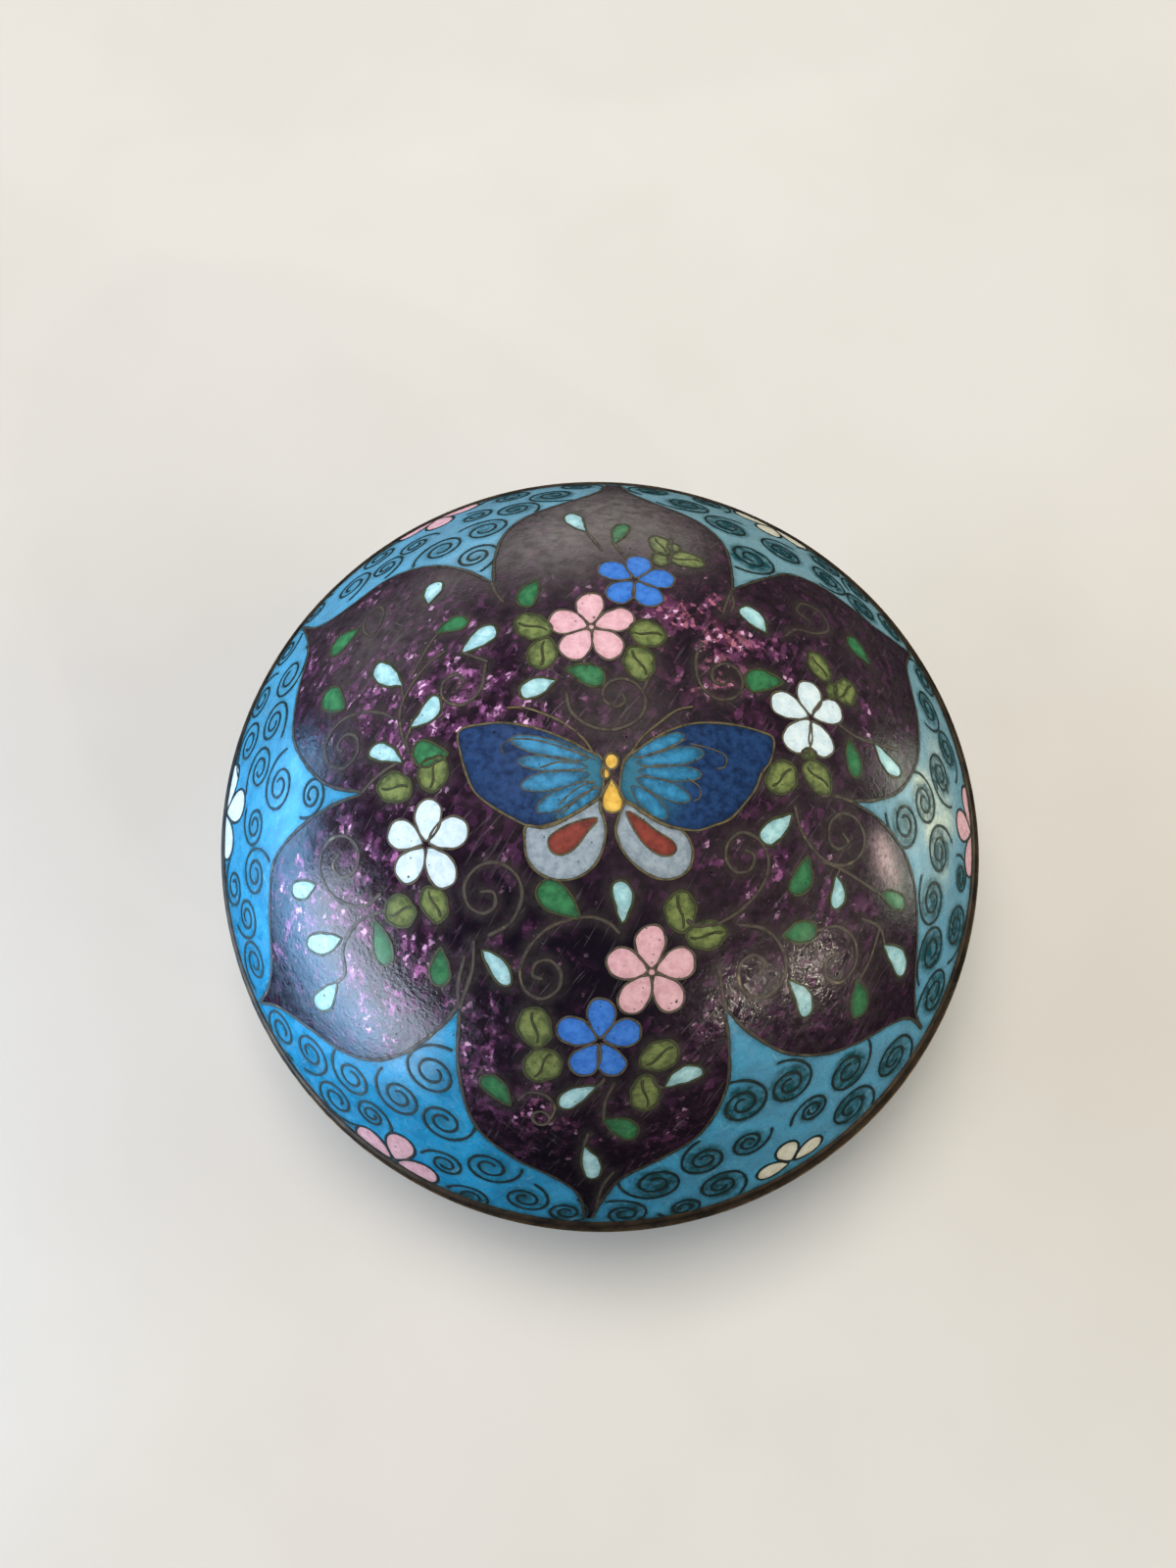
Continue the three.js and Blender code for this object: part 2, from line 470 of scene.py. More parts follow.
def aventurine_enamel():
    """Translucent purple enamel over clustered metal spangles, ground and polished.

    The eye sees a near-black purple field with drifts of magenta flakes, the brightest
    of them painted near white as glints and crowded in the lower left lobe where the
    window's sheen falls, a smoky brown-grey film where the polish has gone dull, which
    on the shoulders is also a painted reflection, a grey haze at the back that is a
    painted reflection over dull polish, a pale patch of painted glare at the right, and
    a watery gloss that is finely crazed in a few places.
    """
    material, tree, place = start_material("aventurine enamel with spangles")
    marks = {}
    for mark in ("spangle_and_glint", "ruddy", "crackle"):
        marks[mark] = add(tree, "Attribute", attribute_name=mark).outputs["Fac"]
    drift = patches(tree, place, 3.2, 0.42, 0.62)
    knots = patches(tree, place, 1.3, 0.4, 0.6, 0.25, 1.15)
    feeds = {0: drift, 1: marks["spangle_and_glint"], 2: 0.0}
    crowd = add(tree, "Math", feeds, operation="MULTIPLY_ADD")
    # Real flakes are 0.2 to 0.6 mm; they are drawn at the coarse end so that they show.
    feeds = {0: crowd, 1: 0.75, 2: 0.25}
    wide_crowd = add(tree, "Math", feeds, operation="MULTIPLY_ADD")
    dim, dim_lot = spangle_layer(tree, place, 0.8, wide_crowd, 0.5)
    near_crowd = add(tree, "Math", {0: crowd, 1: knots}, operation="MULTIPLY")
    bright, bright_lot = spangle_layer(tree, place, 0.5, near_crowd, 0.45)
    feeds = {"Factor": marks["ruddy"], "A": srgb("#b56fa8"), "B": srgb("#b56e82")}
    flake_colour = add(tree, "Mix", feeds, data_type="RGBA")
    feeds = {"Factor": marks["ruddy"], "A": srgb("#3e1d3c"), "B": srgb("#422030")}
    dim_colour = add(tree, "Mix", feeds, data_type="RGBA")
    plum = coats(tree, dim_colour, (dim_lot.outputs["Green"], srgb("#623359")))
    feeds = {"Value": bright_lot.outputs["Green"], "From Min": 0.15, "From Max": 0.95}
    feeds.update({"To Min": 0.05, "To Max": 0.9})
    strength = add(tree, "MapRange", feeds)
    flake = add(tree, "Math", {0: bright, 1: strength}, operation="MULTIPLY")
    # painted glint: the brightest few flakes are drawn near white
    feeds = {0: bright_lot.outputs["Blue"], 1: 0.87}
    lit = add(tree, "Math", feeds, operation="GREATER_THAN")
    glint = add(tree, "Math", {0: bright, 1: lit}, operation="MULTIPLY")
    pits = pinholes(tree, place, 1.6, 0.22, 0.15)
    haze_and_reflection = patchy_mark(tree, "haze_and_reflection", place, 1.5)
    deep = patchy_mark(tree, "deep", place, 1.8)
    colour = coats(
        tree,
        srgb("#150815"),
        (patches(tree, place, 1.1, 0.35, 0.7), srgb("#271224")),
        # brown smoke: a dull film, which on the shoulders also stands in as a painted reflection
        (patchy_mark(tree, "smoke_and_sheen", place, 2.2), srgb("#3a3133")),
        (dim, plum),
        (flake, flake_colour),
        (glint, srgb("#dfb0d6")),
        (deep, srgb("#0c0412")),
        # painted reflection: a grey veil over the dull polish at the back
        (haze_and_reflection, srgb("#6b6563")),
        (patchy_mark(tree, "film", place, 0.9), srgb("#443e3b")),
        # painted highlight: a pale glare patch near the right valley
        (patchy_mark(tree, "painted_glare", place, 0.8), srgb("#b79da0")),
        (pits, srgb("#0c060e")),
        (scratches(tree, place, 62, 0.66, 0.14), srgb("#7d7377")),
        (scratches(tree, place, 50, 0.71, 0.18), srgb("#8d8285")),
        (scratches(tree, place, -35, 0.74, 0.18), srgb("#8d8285")),
    )
    rough = patches(tree, place, 1.6, 0.3, 0.7, 0.14, 0.34)
    feeds = {"Value": marks["crackle"], "To Min": rough, "To Max": 0.04}
    rough = add(tree, "MapRange", feeds)
    polish = uneven_polish(tree, place, 2.2, 0.05, 0.045, pits)
    feeds = {"Vector": place, "Scale": per_mm(0.6), "Detail": 2.0, "Roughness": 0.6}
    crazed = add(tree, "TexNoise", feeds)
    feeds = {"Strength": marks["crackle"], "Distance": 0.09 * MM, "Height": crazed}
    feeds["Normal"] = polish
    return end_enamel(material, colour, rough, add(tree, "Bump", feeds))


def picture_enamel(name, light, dark, stain, pitting, soiling=0.6, toward_body=None):
    """Opaque picture enamel: a flat fired colour, clouded in its depth, with pinholes.

    The eye sees a patch of colour that is slightly uneven, with black specks where
    bubbles burst, soiled along its wires, and the same soft gloss as its surroundings.
    """
    material, tree, place = start_material(name)
    colour = coats(tree, srgb(light), (patches(tree, place, 0.9, 0.35, 0.7), srgb(dark)))
    if toward_body:
        fade = add(tree, "Attribute", attribute_name="fade").outputs["Fac"]
        colour = coats(tree, colour, (fade, srgb(toward_body)))
    brim = patchy_mark(tree, "brim", place, 0.7)
    soiled = add(tree, "Math", {0: brim, 1: soiling}, operation="MULTIPLY")
    pits = pinholes(tree, place, 0.75, pitting, 0.1)
    wide_pits = pinholes(tree, place, 2.1, pitting * 0.8, 0.2)
    pits = add(tree, "Math", {0: pits, 1: wide_pits}, operation="MAXIMUM")
    dust = patches(tree, place, 0.35, 0.55, 0.8, 0.0, 0.5, 2.0)
    stain = srgb(stain)
    colour = coats(tree, colour, (soiled, stain), (dust, stain), (pits, srgb("#1d1a1c")))
    rough = patches(tree, place, 1.4, 0.3, 0.7, 0.2, 0.38)
    polish = uneven_polish(tree, place, 2.0, 0.03, 0.012, pits)
    return end_enamel(material, colour, rough, polish)


def partition_wire(name, core, edge, bare, shine):
    """Flattened brass cell wire, ground flush and oxidised, with dirt along its edges.

    The eye sees a fine dark line with a dull metal core that is bright in a few spots.
    """
    material, tree, place = start_material(name)
    brink = add(tree, "Attribute", attribute_name="edge").outputs["Fac"]
    feeds = {"Value": brink, "From Min": 0.3, "From Max": 0.9}
    dirt = add(tree, "MapRange", feeds, interpolation_type="SMOOTHSTEP")
    spot = patches(tree, place, 2.4, 0.6, 0.68, 0.0, shine)
    colour = coats(
        tree,
        srgb(core),
        (patches(tree, place, 0.8, 0.4, 0.75), srgb(edge)),
        (spot, srgb(bare)),
        (dirt, srgb(edge)),
    )
    metal = add(tree, "Math", {0: spot, 1: 0.75, 2: 0.25}, operation="MULTIPLY_ADD")
    rough = patches(tree, place, 0.8, 0.35, 0.7, 0.38, 0.55)
    return end_material(material, {"Base Color": colour, "Roughness": rough, "Metallic": metal})


def dark_brass():
    """Cast and turned brass, patinated brown-black and rubbed bright along its edges.

    The eye sees a dark bronze band with uneven stains and thin worn gold lines.
    """
    material, tree, place = start_material("patinated brass")
    worn = patchy_mark(tree, "rub", place, 1.4)
    feeds = {"Value": worn, "From Min": 0.35, "From Max": 1.0, "To Max": 0.5}
    worn = add(tree, "MapRange", feeds, interpolation_type="SMOOTHSTEP")
    colour = coats(
        tree,
        srgb("#4d3f30"),
        (patches(tree, place, 3.0, 0.35, 0.68), srgb("#251f19")),
        (patches(tree, place, 0.5, 0.45, 0.7, 0.0, 0.5), srgb("#3a3530")),
        (patches(tree, place, 1.8, 0.6, 0.75, 0.0, 0.5), srgb("#4b5a4c")),
        (worn, srgb("#8d7650")),
    )
    feeds = {"Value": worn, "To Min": 0.5, "To Max": 0.3}
    rough = add(tree, "MapRange", feeds)
    feeds = {"Value": worn, "To Min": 0.6, "To Max": 1.0}
    metal = add(tree, "MapRange", feeds)
    looks = {"Base Color": colour, "Roughness": rough, "Metallic": metal}
    looks["Normal"] = uneven_polish(tree, place, 2.0, 0.05, 0.02)
    return end_material(material, looks)


def counter_enamel():
    """Plain turquoise enamel fired on the inside and not ground.

    The eye sees an even blue-green glaze with orange-peel ripples and stray specks.
    """
    material, tree, place = start_material("plain counter enamel")
    colour = coats(
        tree,
        srgb("#2f88a3"),
        (patches(tree, place, 9.0, 0.35, 0.65), srgb("#246f88")),
        (patches(tree, place, 0.7, 0.45, 0.7, 0.0, 0.35), srgb("#5aa7b8")),
        (pinholes(tree, place, 2.6, 0.2, 0.3), srgb("#17333a")),
    )
    rough = patches(tree, place, 9.0, 0.35, 0.65, 0.18, 0.28)
    return end_enamel(material, colour, rough, uneven_polish(tree, place, 3.2, 0.12, 0.01))


def pale_floor():
    """A plain pale painted board."""
    material, tree, place = start_material("pale painted board")
    colour = coats(tree, srgb("#d6d2cc"), (patches(tree, place, 60.0, 0.3, 0.7), srgb("#d2cec7")))
    return end_material(material, {"Base Color": colour, "Roughness": 0.6})


# ---------------------------------------------------------------- building pieces


def make_piece(name, points, faces, material, marks, replaced=(), corners=None):
    """A mesh piece from points in mm; marks are values that its finish reads."""
    mesh = bpy.data.meshes.new(name)
    mesh.from_pydata((np.asarray(points) * MM).tolist(), [], faces)
    mesh.update()
    mesh.polygons.foreach_set("use_smooth", [True] * len(mesh.polygons))
    if corners is None:
        mesh.set_sharp_from_angle(angle=math.radians(38))
    else:
        mesh.normals_split_custom_set(corners)
    for mark, values in marks.items():
        layer = mesh.attributes.new(mark, "FLOAT", "POINT")
        layer.data.foreach_set("value", np.asarray(values, np.float32))
    mesh.materials.append(material)
    piece = bpy.data.objects.new(name, mesh)
    bpy.context.scene.collection.objects.link(piece)
    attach(piece, "root")
    if replaced:
        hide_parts(*replaced)


# Dirt gathers this near to a cell's wires, in mm.
BRIM_WIDTH = 0.5
# A wire's edges lie this much lower than its middle.
WIRE_CROWN = 0.014


def fill_cell(outline, step):
    """Points and triangles that fill an outline in the layout."""
    low, high = outline.min(0), outline.max(0)
    rows = np.arange(low[1], high[1], step * 0.87)
    grid = [
        (x + (step / 2 if i % 2 else 0), y)
        for i, y in enumerate(rows)
        for x in np.arange(low[0], high[0], step)
    ]
    grid = np.array(grid) if grid else np.zeros((0, 2))
    if len(grid):
        grid = grid[inside(grid, outline)]
    if len(grid):
        grid = grid[gap_to(grid, outline) > step * 0.45]
    points = np.concatenate([outline, grid])
    count = len(outline)
    edges = [(i, (i + 1) % count) for i in range(count)]
    found = delaunay_2d_cdt([Vector(p) for p in points], edges, [], 1, 1e-7)
    return np.array([list(p) for p in found[0]]), [list(f) for f in found[2]]


def inlay(name, skin, outlines, material, depth, step, marks=None):
    """Thin slabs of enamel let into the skin, one in each outline."""
    points, faces, corners, layouts, brim = [], [], [], [], []
    base = 0
    for outline in outlines:
        flat, triangles = fill_cell(np.asarray(outline, float), step)
        brim.extend([beside(flat, [outline], BRIM_WIDTH)] * 2)
        top, outward = skin.lay(flat, depth)
        bottom, _ = skin.lay(flat, depth - LAYER_DEPTH)
        count = len(flat)
        layouts.extend([flat, flat])
        both = np.concatenate([top, bottom])
        for triangle in triangles:
            a, b, c = (top[i] for i in triangle)
            if np.dot(np.cross(b - a, c - a), outward[triangle[0]]) < 0:
                triangle = triangle[::-1]
            faces.append([base + i for i in triangle])
            corners.extend(outward[i] for i in triangle)
        upper = faces[-len(triangles) :]
        border = {}
        for face in upper:
            for i in range(3):
                border[(face[i], face[(i + 1) % 3])] = True
            faces.append([base + count + (i - base) for i in face[::-1]])
            corners.extend(-outward[i - base] for i in face[::-1])
        for a, b in border:
            if (b, a) not in border:
                faces.append([b, a, a + count, b + count])
                p, q, r = both[b - base], both[a - base], both[a - base + count]
                side = np.cross(q - p, r - p)
                side = side / max(np.linalg.norm(side), 1e-12)
                corners.extend([side] * 4)
        points.append(both)
        base += 2 * count
    layout = np.concatenate(layouts)
    given = {mark: found(layout) for mark, found in (marks or {}).items()}
    given["brim"] = np.concatenate(brim)
    corners = np.array(corners).tolist()
    make_piece(name, np.concatenate(points), faces, material, given, corners=corners)


def wire_piece(name, skin, lines, material, width, top=WIRE):
    """Flat wires set on edge in the enamel; each line is (layout points, closed, width)."""
    points, faces, edge = [], [], []
    base = 0
    for line, closed, share in lines:
        line = np.asarray(line, float)
        where, outward = skin.lay(line, 0.0)
        if closed:
            along = np.roll(where, -1, 0) - np.roll(where, 1, 0)
        else:
            along = np.gradient(where, axis=0)
        across = np.cross(outward, along)
        across /= np.linalg.norm(across, axis=1)[:, None]
        count = len(line)
        phase = DICE.uniform(0, 6.28)
        sway = np.arange(count)
        half = width * share / 2 * (1 + 0.14 * np.sin(sway * 0.37 + phase))
        half = half + width * share * 0.05 * np.sin(sway * 1.13 + phase * 2)
        if not closed:
            half[0] *= 0.6
            half[-1] *= 0.6
        half = half[:, None]
        rails = [
            where + across * half + outward * (top - WIRE_CROWN),
            where + outward * top,
            where - across * half + outward * (top - WIRE_CROWN),
            where - across * half * 0.9 + outward * (top - WIRE_DEPTH),
            where + across * half * 0.9 + outward * (top - WIRE_DEPTH),
        ]
        points.append(np.stack(rails, 1).reshape(-1, 3))
        edge.append(np.tile([1.0, 0.0, 1.0, 1.0, 1.0], count))
        last = count if closed else count - 1
        for i in range(last):
            here = base + 5 * i
            there = base + 5 * ((i + 1) % count)
            for k in range(5):
                m = (k + 1) % 5
                faces.append([here + k, here + m, there + m, there + k])
        if not closed:
            end = base + 5 * (count - 1)
            faces.append([base + 4, base + 3, base + 2, base + 1, base])
            faces.append([end, end + 1, end + 2, end + 3, end + 4])
        base += 5 * count
    marks = {"edge": np.concatenate(edge)}
    make_piece(name, np.concatenate(points), faces, material, marks)


# Segments round a brass ring.
RING_SEGMENTS = 360


def turned(name, rows, centre, replaced, sway):
    """A turned brass ring from closed rows of (radius, height, rub), anticlockwise, in mm.

    The rub says how bright the brass is worn there, from 0 to 1. The sway is how far
    the ring wanders inside its true circle.
    """
    rows = np.asarray(rows, float)
    turn = np.linspace(0, 2 * math.pi, RING_SEGMENTS, endpoint=False)
    wobble = sway * (np.sin(3 * turn + 1) + np.sin(7 * turn) + np.sin(17 * turn + 2) - 3) / 6
    points = []
    for angle, give in zip(turn, wobble):
        r = rows[:, 0] + give
        x = centre[0] + r * math.cos(angle)
        y = centre[1] + r * math.sin(angle)
        points.append(np.stack([x, y, rows[:, 1]], 1))
    count = len(rows)
    faces = []
    for i in range(RING_SEGMENTS):
        j = (i + 1) % RING_SEGMENTS
        for k in range(count):
            m = (k + 1) % count
            faces.append([i * count + k, j * count + k, j * count + m, i * count + m])
    marks = {"rub": np.tile(rows[:, 2], RING_SEGMENTS)}
    make_piece(name, np.concatenate(points), faces, BRASS, marks, replaced)


def shell(name, skin, lengths, depths, segments, material, replaced=(), marks=None):
    """A closed shell between two depths of the skin, out to its enamel's edge."""
    turn = np.linspace(0, 2 * math.pi, segments, endpoint=False)
    rings = [np.stack([s * np.cos(turn), s * np.sin(turn)], 1) for s in lengths]
    layout = np.concatenate([[[1e-6, 0]], *rings])
    top, bottom = (skin.lay(layout, depth)[0] for depth in depths)
    count = len(layout)
    points = np.concatenate([top, bottom])
    faces = []
    ahead = (np.arange(segments) + 1) % segments
    for i in range(segments):
        j = ahead[i]
        upper = [[0, 1 + i, 1 + j]]
        for k in range(len(lengths) - 1):
            a = 1 + k * segments
            b = a + segments
            upper.append([a + i, b + i, b + j, a + j])
        if skin.side < 0:
            upper = [face[::-1] for face in upper]
        faces.extend(upper)
        faces.extend([[count + v for v in face[::-1]] for face in upper])
        a = 1 + (len(lengths) - 1) * segments
        wall = [a + i, count + a + i, count + a + j, a + j]
        faces.append(wall if skin.side > 0 else wall[::-1])
    twice = np.concatenate([layout, layout])
    given = {mark: found(twice) for mark, found in (marks or {}).items()}
    make_piece(name, points, faces, material, given, replaced)


def soft_spots(layout, spots):
    """Adds up soft round patches of (u, v, radius, strength), up to 1."""
    total = np.zeros(len(layout))
    for u, v, radius, strength in spots:
        away = ((layout[:, 0] - u) ** 2 + (layout[:, 1] - v) ** 2) / radius**2
        total += strength * np.exp(-away)
    return np.clip(total, 0, 1)


# ---------------------------------------------------------------- layout of the lid, in mm

# Half outlines of the six lobes of the purple cartouche, anticlockwise from the right
# hand valley: each runs from a valley to a tip or from a tip to a valley.
LOBE_SIDES = [
    [(29, 0.1), (33.7, 1.1), (38.5, 3.6), (42.9, 9), (44.7, 15.5), (45.2, 22), (46.6, 26.6), (50.5, 31.2)],
    [(50.5, 31.2), (45, 30.9), (40.1, 31), (35.2, 32.8), (30, 34.3), (24.6, 33.8), (20.1, 30.6),
     (14.5, 26.1)],
    [(14.7, 26.2), (15.1, 31), (14.8, 37), (12, 42.7), (7.8, 46.3), (4.4, 49.7), (2.2, 53.5), (1, 59.3)],
    [(-1.2, 59.3), (-2.1, 53.8), (-4.4, 49.6), (-8.2, 45.7), (-12.4, 42), (-14.9, 37.2),
     (-15.4, 31), (-14.8, 25.7)],
    [(-15, 25.6), (-20.1, 29.6), (-26.2, 32.3), (-32.2, 32.2), (-37.4, 29.4), (-42.2, 27.7),
     (-46, 28.3), (-50.5, 30.9)],
    [(-50.5, 30.9), (-46.5, 26.2), (-44.2, 21.4), (-43.6, 14.5), (-42.2, 7.7), (-38.6, 3.2),
     (-33.8, -0.2), (-28.4, -1.5)],
    [(-28.4, -1.7), (-33.8, -3.1), (-39.8, -5.8), (-44.2, -9.6), (-45.4, -16), (-46, -22.8),
     (-47.8, -27), (-51.2, -30)],
    [(-51.2, -30), (-45.9, -29.9), (-39.8, -31.8), (-34.4, -34), (-28.9, -34.6), (-23.2, -32.4),
     (-18, -28.2), (-15.7, -25.4)],
    [(-15.6, -26), (-16.2, -34), (-14.7, -42), (-9.8, -47), (-4.6, -50), (-1.2, -53.4), (0.1, -59.3)],
    [(1, -59.3), (2.2, -54.6), (4.6, -49.6), (9.2, -46), (14, -41.6), (16.1, -35), (15.4, -29),
     (14.3, -24.9)],
    [(14.4, -24.4), (17.6, -27.2), (23.1, -30.2), (29.2, -31), (35.2, -29.9), (41.9, -27.6),
     (46, -27.5), (50.4, -29.6)],
    [(50.4, -29.6), (46.9, -26.6), (44.7, -21.8), (43.2, -15.4), (41.3, -9), (37.9, -4.3),
     (33, -1.3), (29.1, -0.1)],
]

# The wires run on a little past each valley, towards the middle.
CUSPS = [
    [(14.6, 26.2), (13.7, 23.8), (12.9, 21.4)],
    [(14.4, 26), (14.6, 23.8), (14, 22)],
    [(-15, 25.6), (-14.2, 23.6), (-13, 21.9)],
    [(-28.4, -1.6), (-26.9, -0.2), (-25.3, 0.9), (-23.8, 1.6)],
    [(-15.6, -25.8), (-14.7, -23.4), (-13.9, -20.8), (-13.8, -17.9)],
    [(-15.7, -25.4), (-15.6, -22.6), (-14.8, -19.6)],
    [(14.4, -24.6), (13.6, -22.2), (13, -19.8)],
    [(29, 0), (26.6, 0.3), (24.4, 0)],
]

# Flowers: colour, middle, and the way each of the five petals points, in degrees.
FLOWERS = [
    ("pink", (-2.5, 17.9), (94, 22, -50, -122, 166)),
    ("blue", (2.4, 25.6), (80, 12, -56, -128, 150)),
    ("white", (23.4, 9.3), (88, 27, -65, -126, 164)),
    ("white", (-19.6, -7.7), (88, 24, -54, -128, 158)),
    ("pink", (5.6, -20.4), (95, 21, -51, -121, 164)),
    ("blue", (0.4, -28.5), (90, 19, -60, -121, 161)),
]
PETAL_REACH = 5.1
PETAL_WIDTH = 3.35
# A petal starts this far from its flower's middle and is widest well towards its end.
PETAL_ROOT = 0.5
PETAL_FULLNESS = 0.85
# A blue flower is this share of the others' size, and a pink one has a dot in its middle.
BLUE_FLOWER_SIZE = 0.94
DOT_RADIUS = 0.36

# Half flowers cut by the rim: colour, place round the lid in degrees, how far inside the
# enamel's edge their middle lies, and the reach of their petals.
RIM_FLOWERS = [
    ("pink", 1.5, -0.2, 6.6),
    ("cream", 62.6, 0.4, 6.2),
    ("pink", 119.9, -0.2, 6.6),
    ("white", 180.5, -0.2, 6.9),
    ("pink", 241.0, 0.2, 6.4),
    ("cream", 301.4, 2.0, 5.0),
]
# A petal is this broad for its reach, and the bowl's half lies this far outside its enamel.
RIM_PETAL_BREADTH = 0.6
BOWL_INSET = 0.6
# The heart of its petals lies this far in from its middle, and the scrolls' edges keep
# the reach away from there.
BLOOM_HEART = 2.8
BLOOM_REACH = 5.6

# Olive leaves: middle, the way the vein runs in degrees, length and width.
OLIVE_LEAVES = [
    (-9.2, 18.0, 155, 4.6, 3.2),
    (-7.8, 14.3, 260, 4.1, 3.1),
    (3.9, 17.4, -10, 4.2, 3.4),
    (3.0, 13.5, -68, 4.3, 3.3),
    (5.9, 33.4, 105, 4.4, 2.9),
    (5.7, 30.1, 80, 2.8, 2.0),
    (7.6, 33.1, 95, 2.4, 1.4),
    (9.1, 30.8, -3, 4.6, 3.3),
    (25.6, 17.0, -62, 4.0, 3.1),
    (29.3, 14.4, 38, 4.2, 3.1),
    (27.0, 13.8, 60, 2.4, 1.5),
    (19.3, 1.5, 35, 4.1, 3.5),
    (24.0, 2.2, -40, 4.3, 3.3),
    (22.9, 4.8, 10, 1.9, 1.2),
    (-23.9, -1.2, -6, 4.4, 3.4),
    (-19.2, 0.2, 75, 4.1, 3.3),
    (-22.7, -15.1, 12, 4.0, 3.5),
    (-18.4, -14.1, -70, 4.0, 3.0),
    (-6.9, -27.3, -88, 4.7, 3.7),
    (-6.0, -32.0, 52, 4.7, 4.0),
    (7.3, -30.2, 34, 4.8, 3.5),
    (6.1, -35.3, -82, 5.0, 3.4),
    (8.3, -13.8, -84, 4.5, 3.1),
    (11.3, -16.2, 6, 4.6, 2.8),
]

# Green drops and pale blue drops: point, round end, width and bend.
GREEN_DROPS = [
    ((-5.0, 12.3), (-0.9, 10.9), 2.5, 0.3),
    ((-9.4, 25.5), (-10.3, 21.0), 2.4, -0.3),
    ((-0.2, 32.9), (1.3, 38.3), 2.0, 0.0),
    ((-34.0, 22.6), (-38.3, 19.6), 3.2, -0.4),
    ((-21.0, 18.4), (-17.2, 19.6), 2.2, 0.2),
    ((-32.8, 9.8), (-37.0, 12.9), 3.2, 0.2),
    ((-17.7, 2.4), (-21.8, 3.0), 2.9, 0.3),
    ((19.9, 13.3), (15.2, 12.3), 2.8, -0.3),
    ((35.4, 21.0), (32.3, 24.6), 2.8, 0.2),
    ((28.9, 7.8), (29.7, 3.1), 2.2, 0.1),
    ((22.8, -6.9), (21.2, -11.3), 2.4, 0.4),
    ((20.2, -16.0), (24.7, -15.4), 2.4, 0.2),
    ((34.4, -10.5), (39.4, -11.6), 2.1, 0.1),
    ((32.2, -21.3), (33.9, -26.2), 2.9, 0.3),
    ((-2.4, -14.9), (-6.7, -11.5), 2.9, 0.1),
    ((-26.1, -16.4), (-24.7, -21.4), 2.6, 0.1),
    ((-17.6, -18.9), (-18.0, -23.3), 2.3, 0.0),
    ((-10.0, -38.0), (-13.1, -34.3), 2.6, -0.2),
    ((1.4, -39.2), (5.7, -41.8), 2.8, 0.2),
]
PALE_DROPS = [
    ((-3.9, 35.9), (-6.5, 41.6), 2.3, 0.2),
    ((18.4, 20.0), (15.7, 23.5), 2.7, -0.2),
    ((-23.2, 23.6), (-22.9, 27.8), 2.5, 0.1),
    ((-24.4, 11.3), (-29.0, 15.0), 2.5, 0.2),
    ((-22.5, 5.8), (-19.5, 9.3), 2.3, -0.5),
    ((-17.2, 14.9), (-13.6, 18.1), 2.5, 0.1),
    ((-6.1, 10.9), (-9.9, 9.1), 2.1, -0.2),
    ((-23.3, 1.7), (-27.8, 3.4), 2.1, -0.4),
    ((33.4, 8.3), (38.0, 5.2), 2.4, -0.5),
    ((20.5, -2.6), (17.0, -5.7), 2.3, 0.1),
    ((26.9, -8.9), (27.4, -12.6), 2.1, 0.2),
    ((36.2, -16.9), (41.5, -20.6), 2.8, 0.5),
    ((21.9, -21.2), (25.4, -25.5), 2.2, 0.5),
    ((2.1, -15.2), (1.6, -10.9), 2.1, -0.3),
    ((-31.2, -18.7), (-37.5, -19.9), 2.6, 0.3),
    ((-32.9, -24.6), (-37.4, -28.2), 2.7, 0.4),
    ((-35.3, -12.3), (-40.0, -13.2), 2.3, 0.2),
    ((-12.9, -18.8), (-9.8, -22.5), 2.0, 0.2),
    ((0.3, -34.5), (-3.8, -37.7), 2.3, -0.4),
    ((8.3, -34.5), (12.7, -32.2), 2.2, 0.6),
    ((-0.8, -43.7), (0.7, -49.9), 2.4, 0.3),
]

